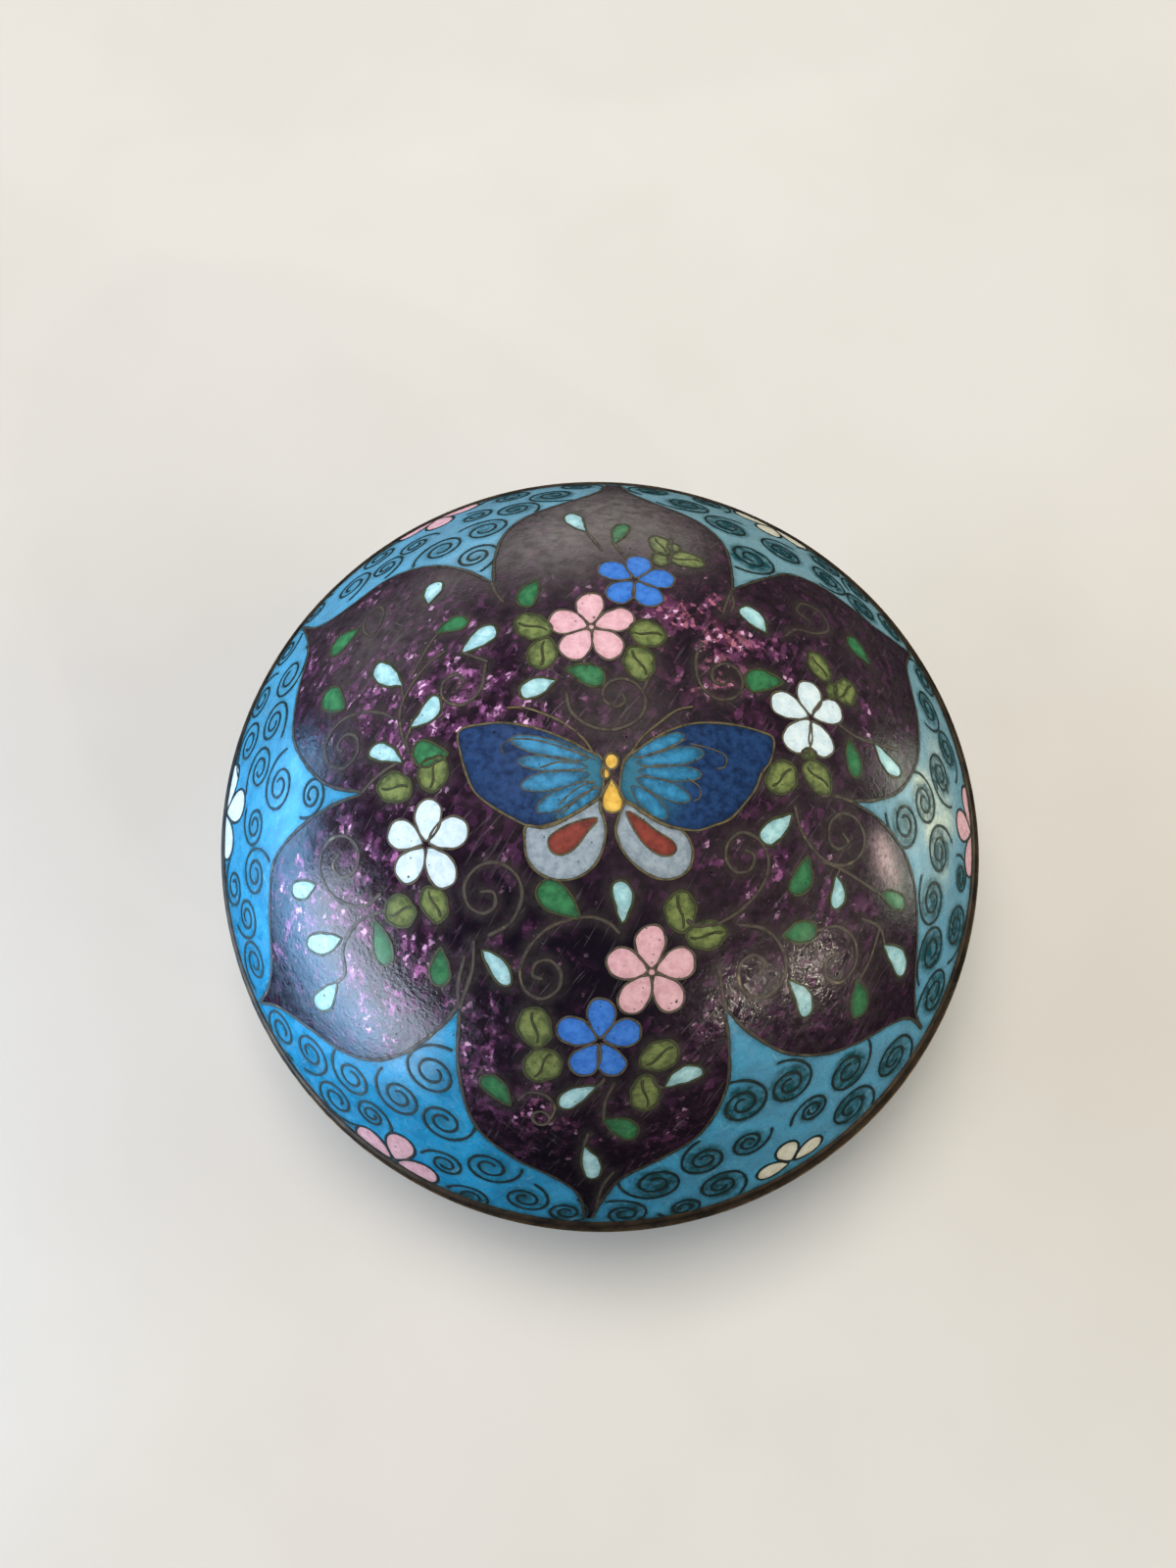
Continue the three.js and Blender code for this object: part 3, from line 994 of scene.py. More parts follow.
# Scrolls and stems on the purple ground, from the tail in to the middle.
SCROLLS = [
    [(-4.9, 9.5), (-4.3, 7.3), (-2.2, 5.7), (0.5, 5.4), (3, 6.7), (3.8, 8.9), (2.6, 10.9), (0.6, 11.3),
     (-0.8, 10.2), (-0.7, 8.7), (0.5, 8), (1.5, 8.6), (1.2, 9.6)],
    [(10.2, 17), (9.4, 14.5), (9.8, 11.5), (11.6, 9.9), (13.7, 10.2), (14.8, 12), (14.3, 13.8),
     (12.7, 14.4),
     (11.3, 13.4), (11.4, 12), (12.6, 11.7), (13.2, 12.6)],
    [(-14.2, 13.2), (-14.5, 9.9), (-16.5, 8.1), (-18.8, 9), (-19.1, 11), (-17.6, 12),
     (-16.6, 10.9), (-17.4, 10.1)],
    [(-12.2, -17.3), (-9.7, -15.7), (-8.6, -13), (-9.2, -10.8), (-11.2, -9.5), (-13.4, -9.9),
     (-14.9, -11.8),
     (-14.5, -14), (-12.8, -14.9), (-11.5, -14), (-11.7, -12.6), (-13.2, -12.6)],
    [(-2.9, -15), (-5.6, -16.1), (-7.7, -18.4), (-8.6, -20.9), (-8, -23), (-6.2, -23.9), (-4.4, -22.7),
     (-4.2, -20.8), (-5.4, -19.6), (-6.9, -20), (-7.2, -21.3), (-6.1, -21.7)],
    [(-2.9, -15), (-1, -14.8), (0.8, -15.4), (1.9, -16.4)],
    [(12.4, -15), (15, -13.3), (17.3, -10.6), (17.9, -7.9), (16.8, -5.8), (14.7, -5),
     (13.2, -6.2), (13, -8),
     (14.2, -9.3), (15.8, -8.9), (16.2, -7.4), (15.1, -6.9)],
    [(20.9, -1.5), (21.9, -4.4), (24.6, -7), (27.8, -7.6), (30.3, -6.2), (31, -4), (29.6, -2), (27.4, -1.6),
     (25.7, -3), (25.7, -5), (27, -5.8), (28.4, -4.9), (27.5, -3.9)],
    [(14.6, -14.9), (18, -15.3), (20.4, -17.4), (21.2, -20), (20, -22.4), (17.8, -23.1), (15.8, -21.8),
     (15.4, -19.4), (16.8, -18.2), (18.4, -19), (17.9, -20.4)],
    [(24.8, -15.2), (28, -14.7), (30.8, -16.4), (31.4, -19.2), (29.6, -21.4), (27.2, -20.8),
     (26.8, -18.6), (28.4, -17.8)],
    [(-24.8, 7), (-26.6, 8), (-29.8, 8.6), (-33.2, 7.9), (-35.2, 5.3), (-34.2, 2.6), (-31.6, 1.7),
     (-29.7, 3.2),
     (-30, 5.3), (-31.8, 6), (-33, 4.7), (-32, 3.7)],
    [(-31.1, 20.1), (-33, 22), (-33.3, 24.6), (-31.7, 25.9), (-30.3, 24.4), (-30.3, 22), (-31.1, 20.1)],
    [(-25.2, -13.2), (-27.4, -14.6), (-30.5, -14.5), (-33.6, -12.6), (-34.6, -9.5), (-33, -7),
     (-30.4, -6.6),
     (-28.5, -8.3), (-28.9, -10.6), (-31, -11.4), (-32.4, -10), (-31.3, -8.6)],
    [(-9, -37.2), (-7.6, -35.9), (-5.6, -36.1), (-4.5, -37.8), (-5, -39.6)],
    [(21, 20.2), (23, 22), (26, 22.4), (28.6, 24.2), (28, 27), (25.2, 27.6), (23.8, 25.6), (25.4, 24.4)],
    [(34.9, -14.4), (33.9, -18.6), (32.5, -21.4)],
    [(36.3, -16.8), (34.8, -14.6), (31.4, -13.6)],
    [(24.6, -7.4), (27.4, -8), (30.4, -9.1), (34.4, -10.6)],
    [(27.4, -8), (26.9, -9)],
    [(-22, 2.4), (-23.4, 4.6), (-24.2, 7.6), (-23.6, 10.4), (-21.6, 13.6), (-19.4, 15.4)],
    [(-24, 9.4), (-24.5, 11.3)],
    [(-23.4, 12.4), (-21.8, 16.4), (-20.8, 18.2)],
    [(-22.3, 2.4), (-22.9, 4.2), (-22.5, 5.8)],
    [(-24.6, -15), (-28.6, -16.6), (-31.1, -19.8), (-31.2, -23), (-32.9, -24.6)],
    [(-26.4, -15.6), (-26.1, -16.4)],
    [(-14, 13.4), (-17.2, 14.9)],
    [(-3.9, 35.9), (-2.8, 33.6), (-1.6, 31)],
    [(-0.2, 32.9), (0.6, 31.2), (1.4, 29.6)],
    [(7.4, 35.8), (7.3, 32.2), (6.6, 29)],
    [(0.3, -34.5), (0.9, -33.9), (1.2, -33.3)],
    [(1.4, -39.2), (1.5, -36.4), (2.4, -33.8)],
    [(8.3, -34.5), (7.4, -34.1), (6.8, -33.2)],
    [(-0.8, -43.7), (-0.3, -41.6)],
    [(3.4, -48.4), (2.2, -51), (1.7, -54), (1.6, -57)],
    [(3.4, 10), (4.4, 12.4)],
    [(12.4, -15), (10, -15.2), (9, -14.6)],
    [(38, 8.6), (33.4, 8.3), (30, 8.4), (27.4, 9.4)],
]

FEELERS = [
    [(-1.4, 2.2), (-2.8, 4.2), (-5, 5.9), (-7.5, 7), (-9.4, 7.6), (-11.3, 7.6)],
    [(1.4, 1.4), (2.5, 3.1), (3.6, 4.8), (5.3, 6.4), (7.2, 8), (9, 8.6)],
]
UPPER_WINGS = [
    [(-0.8, 2), (-2.2, 2.8), (-4.4, 3.9), (-6.7, 4.8), (-8.9, 5.4), (-11.7, 5.8), (-14.4, 5.6),
     (-16.2, 5.2),
     (-16.6, 4.2), (-16.1, 2.4), (-15.3, 0.1), (-14.2, -1.9), (-12.3, -3.4), (-10.3, -4.5), (-8.3, -5.4),
     (-6.7, -5.4), (-5, -4.8), (-3.3, -3.8), (-1.9, -2.9), (-0.6, -1.6)],
    [(1.4, -1.6), (2.8, -2.7), (4.4, -3.7), (6.1, -4.6), (7.8, -5), (9.7, -5.1), (11.4, -4.5), (13.3, -3.6),
     (14.8, -1.9), (16.1, -0.1), (16.8, 1.7), (17.8, 3.1), (18.3, 4.8), (18.2, 6), (17.1, 6.4), (14.7, 6.8),
     (11.9, 6.9), (9.2, 6.6), (6.9, 5.8), (5, 4.7), (3.1, 3.2), (1.7, 2)],
]
LOWER_WINGS = [
    [(-0.85, -2.5), (-1.9, -3.1), (-3.4, -4.1), (-5, -5.1), (-6.7, -5.7), (-8.4, -5.5),
     (-8.5, -7), (-8.2, -8.8),
     (-7.1, -10.2), (-5.3, -11), (-3.1, -10.8), (-1.4, -9.7), (-0.4, -8), (-0.05, -5.8),
     (-0.3, -4.4), (-0.75, -3.3)],
    [(1.55, -3.6), (1.2, -4.6), (1.1, -5.9), (1.9, -7.7), (3.6, -9.4), (5.6, -10.4), (7.5, -10.3),
     (8.9, -9.3), (9.3, -7.7),
     (8.9, -6.3), (8, -5.3), (6.4, -4.9), (4.4, -4), (2.9, -3.1), (1.95, -2.7)],
]
WING_DROPS = [
    [(-1, -4.4), (-1.9, -5.8), (-3.2, -7.6), (-4.6, -8.4), (-5.7, -8), (-6, -6.8), (-5.1, -5.9),
     (-3.2, -4.9)],
    [(2.1, -3.6), (3.4, -4.1), (5.2, -5.4), (7, -6.4), (7.5, -7.3), (6.7, -8), (5.2, -7.7), (3.5, -6.2)],
]
# Turquoise streaks: root, tip and width of each.
STREAKS = [
    ((-2.2, 2.0), (-10.6, 4.0), 1.9),
    ((-2.4, 1.1), (-9.7, 1.5), 1.6),
    ((-2.0, 0.3), (-9.2, -1.2), 2.0),
    ((-1.4, -0.6), (-7.4, -3.8), 1.9),
    ((-0.8, -1.2), (-5.2, -4.6), 1.3),
    ((2.5, 2.5), (8.0, 5.2), 1.5),
    ((3.0, 1.8), (10.2, 3.4), 1.9),
    ((3.2, 0.9), (10.0, 0.9), 1.7),
    ((3.0, 0.1), (8.8, -1.9), 1.8),
    ((2.5, -0.8), (6.4, -4.0), 1.7),
]
WING_HOOKS = [
    [(-1.4, 1.9), (-4.6, 3), (-8, 3.9), (-10.6, 3.9), (-11.6, 3), (-11.2, 2.2)],
    [(-3.2, 1.4), (-5.4, 1.5), (-7.4, 0.8)],
    [(-1.4, -0.4), (-3.4, -1.4), (-5.2, -3.2)],
    [(-1, -0.9), (-3, -2.4), (-4.8, -4.1)],
    [(5.4, 3.2), (7, 4), (8.3, 4.8)],
    [(8.6, 4.3), (11, 3.9), (12.7, 3.2), (12.6, 2), (11.6, 1.7)],
    [(8.4, 0.4), (9.8, -0.4), (9.9, -1.6), (9.2, -2)],
]

# The little scrolls that fill the turquoise, by their middles; more are set in the gaps.
FIELD_COILS = [
    (-31, -44.1), (-13.6, -49.6), (-8.8, -55.6), (-17, -57.2), (-2.8, -58), (5.8, -58),
    (9.4, -51), (15.6, -46.7),
    (14.6, -57), (19, -37.4), (-19.3, -42.4), (-20.2, -50.6), (21.5, -44.2),
    (-49.8, -3.8), (-44, 1), (-36.7, -1.1), (-49.2, -10.8), (-56, -12.5), (-52, -17), (-51, -23.7),
    (-46.6, -33.6), (-40.5, -36), (-33, -38.2), (-25.4, -39.6), (-19.9, -34.8),
    (-50, 4.5), (-55.6, 10), (-48.6, 11.4), (-55.3, 17.8), (-47.8, 19.2), (-52.5, 26.4),
    (-48.6, 34), (-40.6, 35.4), (-34.2, 36.6), (-30.4, 41), (-24.4, 36.3), (-18.4, 39.6), (-18.3, 32),
    (-15, 46), (-9.8, 51.6), (-21.4, 46.4),
    (38.8, -1.2), (47.6, -3.5), (55.5, -6.2), (46.3, -10.5), (55, -14), (48, -17.5), (51.4, -24),
    (44.6, -33.7), (35, -34.2), (25.2, -35), (30.4, -39.8), (38.4, -41), (49.2, 8), (43.6, 2.6),
    (18.8, 35), (25.6, 41), (11.4, 50.4), (17, 44), (33.2, 38.6), (39.4, 35), (49.6, 19.4), (53.4, 13.4),
]
COIL_RADIUS = 3.15
SMALLEST_COIL = 2.35
# The field starts this far from the lid's middle, and its coils run this far under the rim.
FIELD_START = 28
RIM_OVERLAP = 0.9
# Places tried for the coils that fill the gaps are so far apart.
SPOT_STEP = 1.1
# The field stays open beside the tip between the two lobes at the lower right.
OPEN_GROUND = (19.5, -31.1)

# Soft patches of the purple enamel, each (u, v, radius, strength): flakes, crowded as
# painted glints in the lower left lobe; brown smoke, on the shoulders also a painted
# reflection; clear dark glass; a redder tint; grey haze, a painted reflection over dull
# polish; a pale patch of painted glare; and fine crazing.
PURPLE_MARKS = {
    # painted glints: the drifts round (-36, -18) in the lower left lobe are crowded where the window's
    # sheen falls
    "spangle_and_glint": [
        (-27, 9, 6.5, 1.0), (-17, 12, 6, 0.8), (-22, 3, 5, 0.5), (-27, -6, 7, 0.7), (-36, -16, 8, 0.9),
        (-24, -21, 7, 0.9), (-10, -14, 6, 0.55), (-12, -33, 7, 0.65), (-4, -42, 7, 0.45), (-9, -22, 6, 0.6),
        (8, 20, 6.5, 0.9), (12.5, 13, 5.5, 0.8), (-7, 10, 5, 0.5), (-36, 27, 9, 0.5), (-12, 4, 5, 0.5),
        (14, -9, 6, 0.35), (22, -6, 5, 0.45), (28, -12, 6, 0.45), (12, -27, 5, 0.4), (9, -40, 6, 0.3),
        (-40, 17, 6, 0.35), (19, 18, 6, 0.5), (33, 12, 6, 0.35), (3, 3, 4, 0.4), (-26, -30, 6, 0.4),
        (-39, -15, 4, 1.0), (-31, -19, 5, 0.9), (-28, -24, 5, 0.7), (-43, -20, 4, 0.7), (26, -26, 6, 0.25),
        (-20, 17, 6, 0.4), (0, 24, 40, 0.08),
    ],
    # brown film that is partly a painted reflection on the shoulders
    "smoke_and_sheen": [
        (0, 42, 15, 0.7), (-2, 30, 9, 0.6), (34, 25, 15, 0.55), (38, 12, 8, 0.3), (-32, 17, 9, 0.35),
        (-20, 26, 8, 0.4), (33, -20, 10, 0.35), (27, -3, 8, 0.35), (2, 9, 7, 0.4), (-31, 5, 7, 0.35),
        (24, -16, 8, 0.35), (-29, -27, 9, 0.4), (9, -10, 8, 0.3), (-10, -3, 5, 0.4), (36, 3, 6, 0.3),
    ],
    "deep": [
        (-7, -17, 8, 1.3), (1, -22, 8, 1.0), (-9, -27, 7, 0.5), (0, -50, 6, 1.0), (-4, -46, 6, 0.8),
        (-1, -33, 7, 0.5), (10, -44, 6, 0.3), (-35, 28, 7, 0.4), (10, 8, 6, 0.4), (0, -56, 4, 1.0),
        (-15, -13, 5, 0.6), (24, 20, 6, 0.3),
    ],
    "ruddy": [(10, 22, 9, 1.0), (12, 13, 6, 0.7), (-6, -40, 7, 0.5), (3, 5, 6, 0.4), (-37, 28, 8, 0.6)],
    # painted reflection over dull polish, mostly on the far lobe
    "haze_and_reflection": [
        (0, 46, 9, 0.7), (-6, 38, 8, 0.5), (6, 37, 7, 0.45), (-30, 20, 10, 0.3), (-40, -2, 5, 0.35),
        (-8, 30, 6, 0.35), (4, 2, 9, 0.2), (-44, 27, 5, 0.15),
    ],
    # painted highlight: pale glare on the purple near the right valley
    "painted_glare": [(35, -6.4, 2.0, 0.85), (33.8, -4.4, 1.5, 0.5), (36.6, -8.4, 1.5, 0.5)],
    "crackle": [
        (25.3, -20, 3.6, 2.0), (16, -23, 3.2, 2.0), (-36, -18, 8, 0.6), (-26, -26, 7, 0.6),
        (21, -21, 4, 0.4),
    ],
}
# Painted glare on the turquoise: pale spots at the right shoulder that stand in for a highlight.
PAINTED_GLARE_SPOTS = [
    (43.6, 4.8, 1.9, 1.8), (44.2, 2.2, 2.1, 2.0), (46.3, -1.6, 2.2, 1.7), (49, 6, 3.2, 0.6),
    (50, 1, 3.2, 0.7), (49, 11, 3, 0.4), (48.5, -6, 2.4, 0.5),
]

# ---------------------------------------------------------------- outlines made from the layout

# Wires on the turquoise end this far inside the enamel's edge.
EDGE_MARGIN = 0.02

lobe_lines = [bent(side, step=0.4) for side in LOBE_SIDES]
cartouche = evenly(np.concatenate([*lobe_lines, lobe_lines[0][:1]]), 0.42)[:-1]
far = np.hypot(cartouche[:, 0], cartouche[:, 1])
cartouche = cartouche * np.minimum(1, (LID.edge - EDGE_MARGIN) / far)[:, None]


def petals_of(middle, ways, reach, width):
    """The petals of one flower, each a little different from the next."""
    middle = np.asarray(middle, float)
    made = []
    for way in ways:
        out = toward(way)
        length = reach * DICE.uniform(0.94, 1.05)
        broad = width * DICE.uniform(0.93, 1.05)
        lean = DICE.uniform(-0.14, 0.14)
        root = middle + out * PETAL_ROOT
        petal = drop_outline(root, middle + out * length, broad, lean, PETAL_FULLNESS)
        made.append(hand_cut(petal, 0.09))
    return made


def rim_petal(skin, middle, way, reach, width):
    """A petal of a flower on the rim, cut off where the enamel ends."""
    out = toward(way)
    root = middle + out * PETAL_ROOT
    petal = drop_outline(root, middle + out * reach, width, 0.0, PETAL_FULLNESS)
    petal = skin.true_shape(petal, middle * 0.97)
    length = np.hypot(petal[:, 0], petal[:, 1])
    petal = petal * np.minimum(1, (skin.edge - 0.05) / length)[:, None]
    return evenly(np.concatenate([petal, petal[:1]]), OUTLINE_STEP)[:-1]


def hand_cut(outline, by):
    """The outline with the small waver of a cell that was bent by hand."""
    count = len(outline)
    around = np.arange(count) / count * 2 * math.pi
    waver = np.zeros(count)
    for waves in (2, 3, 5, 7):
        waver += np.sin(waves * around + DICE.uniform(0, 6.28)) / math.sqrt(waves)
    return grow(outline, by * waver[:, None] * 0.6)


def grow(outline, by):
    """The outline moved outwards, for the wire that runs round a cell."""
    outline = np.asarray(outline, float)
    along = np.roll(outline, -1, 0) - np.roll(outline, 1, 0)
    out = np.stack([along[:, 1], -along[:, 0]], 1)
    out /= np.linalg.norm(out, axis=1)[:, None]
    x, y = outline[:, 0], outline[:, 1]
    if np.sum(x * np.roll(y, -1) - np.roll(x, -1) * y) < 0:
        out = -out
    return outline + out * by


def set_cell(kept, kind, outline, wires, offset, share=1.0):
    """Keeps a cell by its colour, and the closed wire that stands so far outside it."""
    kept.setdefault(kind, []).append(outline)
    wires.append((grow(outline, offset), True, share))


# Everything on the lid is sorted by what it is made of. A wire is kept as its layout
# points, whether it is closed, and its width as a share of the width of its kind.
cells = {}
petal_wires = []
leaf_wires = []
PETAL_OFFSET = 0.1
LEAF_OFFSET = 0.08

for colour, middle, ways in FLOWERS:
    size = BLUE_FLOWER_SIZE if colour == "blue" else 1.0
    petals = petals_of(middle, ways, PETAL_REACH * size, PETAL_WIDTH * size)
    if colour == "pink":
        dot = DOT_RADIUS * np.array([toward(a) for a in range(0, 360, 40)])
        petals.append(np.array(middle) + dot)
    for petal in petals:
        set_cell(cells, colour, petal, petal_wires, PETAL_OFFSET)

# A little gilt ring near the foot of the bottom lobe: its middle and radius.
RING_MIDDLE = (-6.2, -39.6)
RING_RADIUS = 1.05
ring = np.array(RING_MIDDLE) + RING_RADIUS * np.array([toward(a) for a in range(0, 360, 15)])
petal_wires.append((ring, True, 1.5))

for u, v, heading, length, width in OLIVE_LEAVES:
    centre = np.array([u, v])
    outline = hand_cut(leaf_outline(centre, heading, length, width), 0.18)
    set_cell(cells, "olive", outline, leaf_wires, LEAF_OFFSET)
    if length > 3:
        vein = leaf_vein(centre, heading, length, width)
        leaf_wires.append((evenly(vein, WIRE_STEP), False, 1.0))

for kind, table in (("green", GREEN_DROPS), ("pale", PALE_DROPS)):
    for tip, end, width, bend in table:
        outline = hand_cut(drop_outline(tip, end, width, bend), 0.1)
        set_cell(cells, kind, outline, leaf_wires, LEAF_OFFSET)

picture_wires = [(bent(line), False, 1.0) for line in SCROLLS + CUSPS]

# Rim flowers: three petals on the lid and the other two on the bowl.
rim_wires = []
bowl_cells = {}
bowl_wires = []
blooms = []
for colour, place, inset, size in RIM_FLOWERS:
    out = toward(place)
    middle = out * (LID.edge - inset)
    blooms.append(out * (LID.edge - inset - BLOOM_HEART))
    tilt = DICE.uniform(-6, 6)
    width = size * RIM_PETAL_BREADTH
    for turn, reach in ((0, size), (72, size * 0.96), (-72, size * 0.96)):
        petal = rim_petal(LID, middle, place + 180 + turn + tilt, reach, width)
        set_cell(cells, colour, petal, rim_wires, PETAL_OFFSET, 1.1)
    lower = out * (BOWL.edge + BOWL_INSET)
    for turn in (36, -36):
        petal = rim_petal(BOWL, lower, place + 180 + turn + tilt, size, width)
        set_cell(bowl_cells, colour, petal, bowl_wires, PETAL_OFFSET, 1.1)

# ---------------------------------------------------------------- the field of little scrolls


def true_gap(skin, a, b):
    """The distance between two nearby layout points as it is on the box."""
    a, b = np.asarray(a, float), np.asarray(b, float)
    middle = (a + b) / 2
    length = math.hypot(*middle)
    out = middle / length
    away = b - a
    along = away @ np.array([-out[1], out[0]])
    return math.hypot(away @ out, along * skin.radius_at(length) / length)


def off_the_cartouche(point):
    """Whether a point lies on the turquoise."""
    return not inside(np.array([point]), cartouche)[0]


def pack_coils():
    """Sets a coil at each known place, then one in each gap left: (middle, radius) for all."""
    fence = tree_of(cartouche)

    def room(point):
        """The widest coil that fits round a point, by the edges and the rim flowers."""
        length = math.hypot(*point)
        free = min(LID.edge + RIM_OVERLAP - length, length - FIELD_START)
        free = min(free, fence.find((point[0], point[1], 0))[2])
        for bloom in blooms:
            free = min(free, true_gap(LID, point, bloom) - BLOOM_REACH)
        return free

    placed = [[np.array(point, float), COIL_RADIUS] for point in FIELD_COILS]
    for one in placed:
        near = [true_gap(LID, one[0], o[0]) / 2 for o in placed if o is not one]
        one[1] = max(SMALLEST_COIL, min(COIL_RADIUS * 1.08, room(one[0]), min(near) + 0.1))
    spots = []
    length = LID.edge - 1
    while length > FIELD_START:
        around = 2 * math.pi * LID.radius_at(length)
        count = int(around / SPOT_STEP)
        for i in range(count):
            angle = 2 * math.pi * (i + DICE.random() * 0.5) / count
            point = length * np.array([math.cos(angle), math.sin(angle)])
            if off_the_cartouche(point):
                spots.append(point)
        length -= SPOT_STEP
    while spots:
        best, best_room = None, SMALLEST_COIL
        kept = []
        for point in spots:
            free = room(point)
            for middle, radius in placed:
                free = min(free, true_gap(LID, point, middle) - radius)
                if free < SMALLEST_COIL:
                    break
            if free >= SMALLEST_COIL:
                kept.append(point)
                if free > best_room:
                    best, best_room = point, free
        if best is None:
            break
        placed.append([best, min(best_room, COIL_RADIUS)])
        spots = kept
    return [one for one in placed if true_gap(LID, one[0], OPEN_GROUND) > 2]


def coil_wires(skin, placed, fenced):
    """A wire for each coil, turned so that its tail runs into open ground."""
    lines = []
    for middle, radius in placed:
        hand = DICE.choice((-1, 1))
        best, start = -9, 0
        for way in range(0, 360, 30):
            tail = middle + toward(way) * radius * 1.5
            free = [true_gap(skin, tail, m) - r for m, r in placed if m is not middle]
            free = -5 if fenced(tail) else min(free + [3.0])
            free += DICE.uniform(0, 0.6)
            if free > best:
                best, start = free, way
        turns = DICE.uniform(1.65, 1.95)
        line = coil(middle, radius * 0.97, start + hand * 70, hand, turns)
        line = evenly(skin.true_shape(line, middle), WIRE_STEP)
        lines.extend((part, False, 1.0) for part in parts_within(line, skin.edge - EDGE_MARGIN))
    return lines


lid_coils = pack_coils()
lid_field = coil_wires(
    LID, lid_coils, lambda p: not off_the_cartouche(p) or math.hypot(*p) > LID.edge
)

lobe_wires = []
for line in lobe_lines:
    lobe_wires.extend((part, False, 1.0) for part in parts_within(line, LID.edge - EDGE_MARGIN))


# Where the scrolls on the turquoise are least darkened, and where its grey bloom and painted reflection
# haze are thickest, in degrees round the lid.
LEAST_DARKENED = 185
GREYEST_TURN = 50


def silt_on_lid(layout):
    """How much dirt lies over the turquoise: more within the scrolls and by the rim.

    Within the scrolls the darkening is weakest at the left of the lid and grows away from there.
    """
    tree = tree_of([middle for middle, _ in lid_coils])
    # Silt fills each scroll from its outer turn in, and is thicker at its hook.
    found, heart = [], []
    for p in layout:
        _, i, away = tree.find((p[0], p[1], 0))
        found.append((lid_coils[i][1] * 1.05 - away) / 0.9)
        heart.append(1.3 - away)
    share = np.clip((turn_from(layout, LEAST_DARKENED) - 35) / 60, 0.12, 1)
    within = np.clip(np.array(found) + 0.3, 0, 1) * share * 0.92
    within += np.clip(np.array(heart), 0, 1) * (0.14 + 0.12 * share)
    # It also clings beside the wires, and further out beside those of the cartouche.
    clings = beside(layout, [line for line, _, _ in lid_field], 0.65)
    clings = np.maximum(clings, beside(layout, [line for line, _, _ in lobe_wires], 0.9))
    within = np.maximum(within, clings * 0.8)
    length = np.hypot(layout[:, 0], layout[:, 1])
    by_rim = np.clip((length - LID.edge + 2.2) / 2.2, 0, 1) ** 2
    return np.clip(within + by_rim * 0.8, 0, 1)


def smoke_and_sheen_on_lid(layout):
    """Grey bloom and painted reflection haze on the turquoise: thickest at the back right, none at the
    front left.
    """
    away = turn_from(layout, GREYEST_TURN) / 180
    return np.clip(0.9 - 1.05 * away, 0, 0.75)


def film_on_cartouche(layout):
    """The grey film that clings beside the wires and leaves of the purple field."""
    return beside(layout, [line for line, _, _ in picture_wires + leaf_wires], 1.3) * 0.5


# ---------------------------------------------------------------- the pieces

TURQUOISE = turquoise_enamel()
AVENTURINE = aventurine_enamel()
BRASS = dark_brass()
COUNTER = counter_enamel()
# Each has its fired colour, its darker clouds and the stain along its wires, then how much
# of it is pitted and how much soiled, and the wings also what they turn to at the body.
PICTURE = {
    "white": picture_enamel("white enamel", "#dcebf0", "#c4dae3", "#93a8ac", 0.35, 0.3),
    "cream": picture_enamel("cream enamel", "#e6e3d2", "#d2cfba", "#a39f88", 0.25, 0.4),
    "pink": picture_enamel("pink enamel", "#e5b9c1", "#d4a1ab", "#93696f", 0.35, 0.3),
    "blue": picture_enamel("cobalt blue enamel", "#4481d6", "#316bc2", "#1d3f80", 0.3, 0.35),
    "olive": picture_enamel("olive enamel", "#7a874f", "#566239", "#373f2a", 0.3, 0.85),
    "green": picture_enamel("leaf green enamel", "#3c7e50", "#2b6340", "#22412f", 0.2, 0.75),
    "pale": picture_enamel("pale aqua enamel", "#b6dfe2", "#91c5cc", "#5a7c82", 0.45),
    "yellow": picture_enamel("yellow enamel", "#ecc45c", "#d8a63c", "#6c4c1c", 0.35, 0.5),
    "brick": picture_enamel("brick red enamel", "#8e4238", "#71342b", "#452420", 0.3),
    "grey": picture_enamel("pale grey enamel", "#9aa7b0", "#808e9a", "#4c5560", 0.35),
    "wing": picture_enamel("dark blue enamel", "#213f6c", "#132648", "#0f1a30", 0.2, 0.7, "#2b6c84"),
    "streak": picture_enamel("bright blue enamel", "#358bb8", "#286f96", "#1d4a62", 0.3, 0.9),
}
DARK_WIRE = partition_wire("oxidised brass wire", "#26393b", "#12201f", "#8f8a66", 0.25)
LEAF_WIRE = partition_wire("silted brass wire", "#51533b", "#333723", "#8c8258", 0.4)
DULL_WIRE = partition_wire("dull brass wire", "#5c544b", "#393330", "#b3a581", 0.5)
GREY_WIRE = partition_wire("grey brass wire", "#4f4a42", "#28241f", "#a39a7c", 0.4)
PETAL_WIRE = partition_wire("dull thin brass wire", "#6c6455", "#3b362e", "#b8a878", 0.5)
GOLD_WIRE = partition_wire("rubbed brass wire", "#73694f", "#3d3828", "#c4ae78", 0.7)

# Segments round the ground enamel, which carries the fine stains, and round the lining.
GROUND_SEGMENTS = 480
LINING_SEGMENTS = 240
# The lining stays this much clear of the ground enamel.
LINING_GAP = 0.02


def cased(side, skin, rows, replaced, marks):
    """The ground enamel and the lining of the lid or the bowl."""
    shell(
        side + "_ground", skin, rows, (GROUND, -(WALL - LINING)), GROUND_SEGMENTS,
        TURQUOISE, replaced, marks,
    )
    shell(
        side + "_lining", skin, np.linspace(1.5, skin.edge, 50),
        (-(WALL - LINING - LINING_GAP), -WALL), LINING_SEGMENTS, COUNTER,
    )


lid_rows = np.concatenate([np.linspace(2, 24, 12), np.linspace(25, LID.edge, 84)])
# painted highlight: the pale glare spots at the right shoulder
painted_glare_on_lid = partial(soft_spots, spots=PAINTED_GLARE_SPOTS)
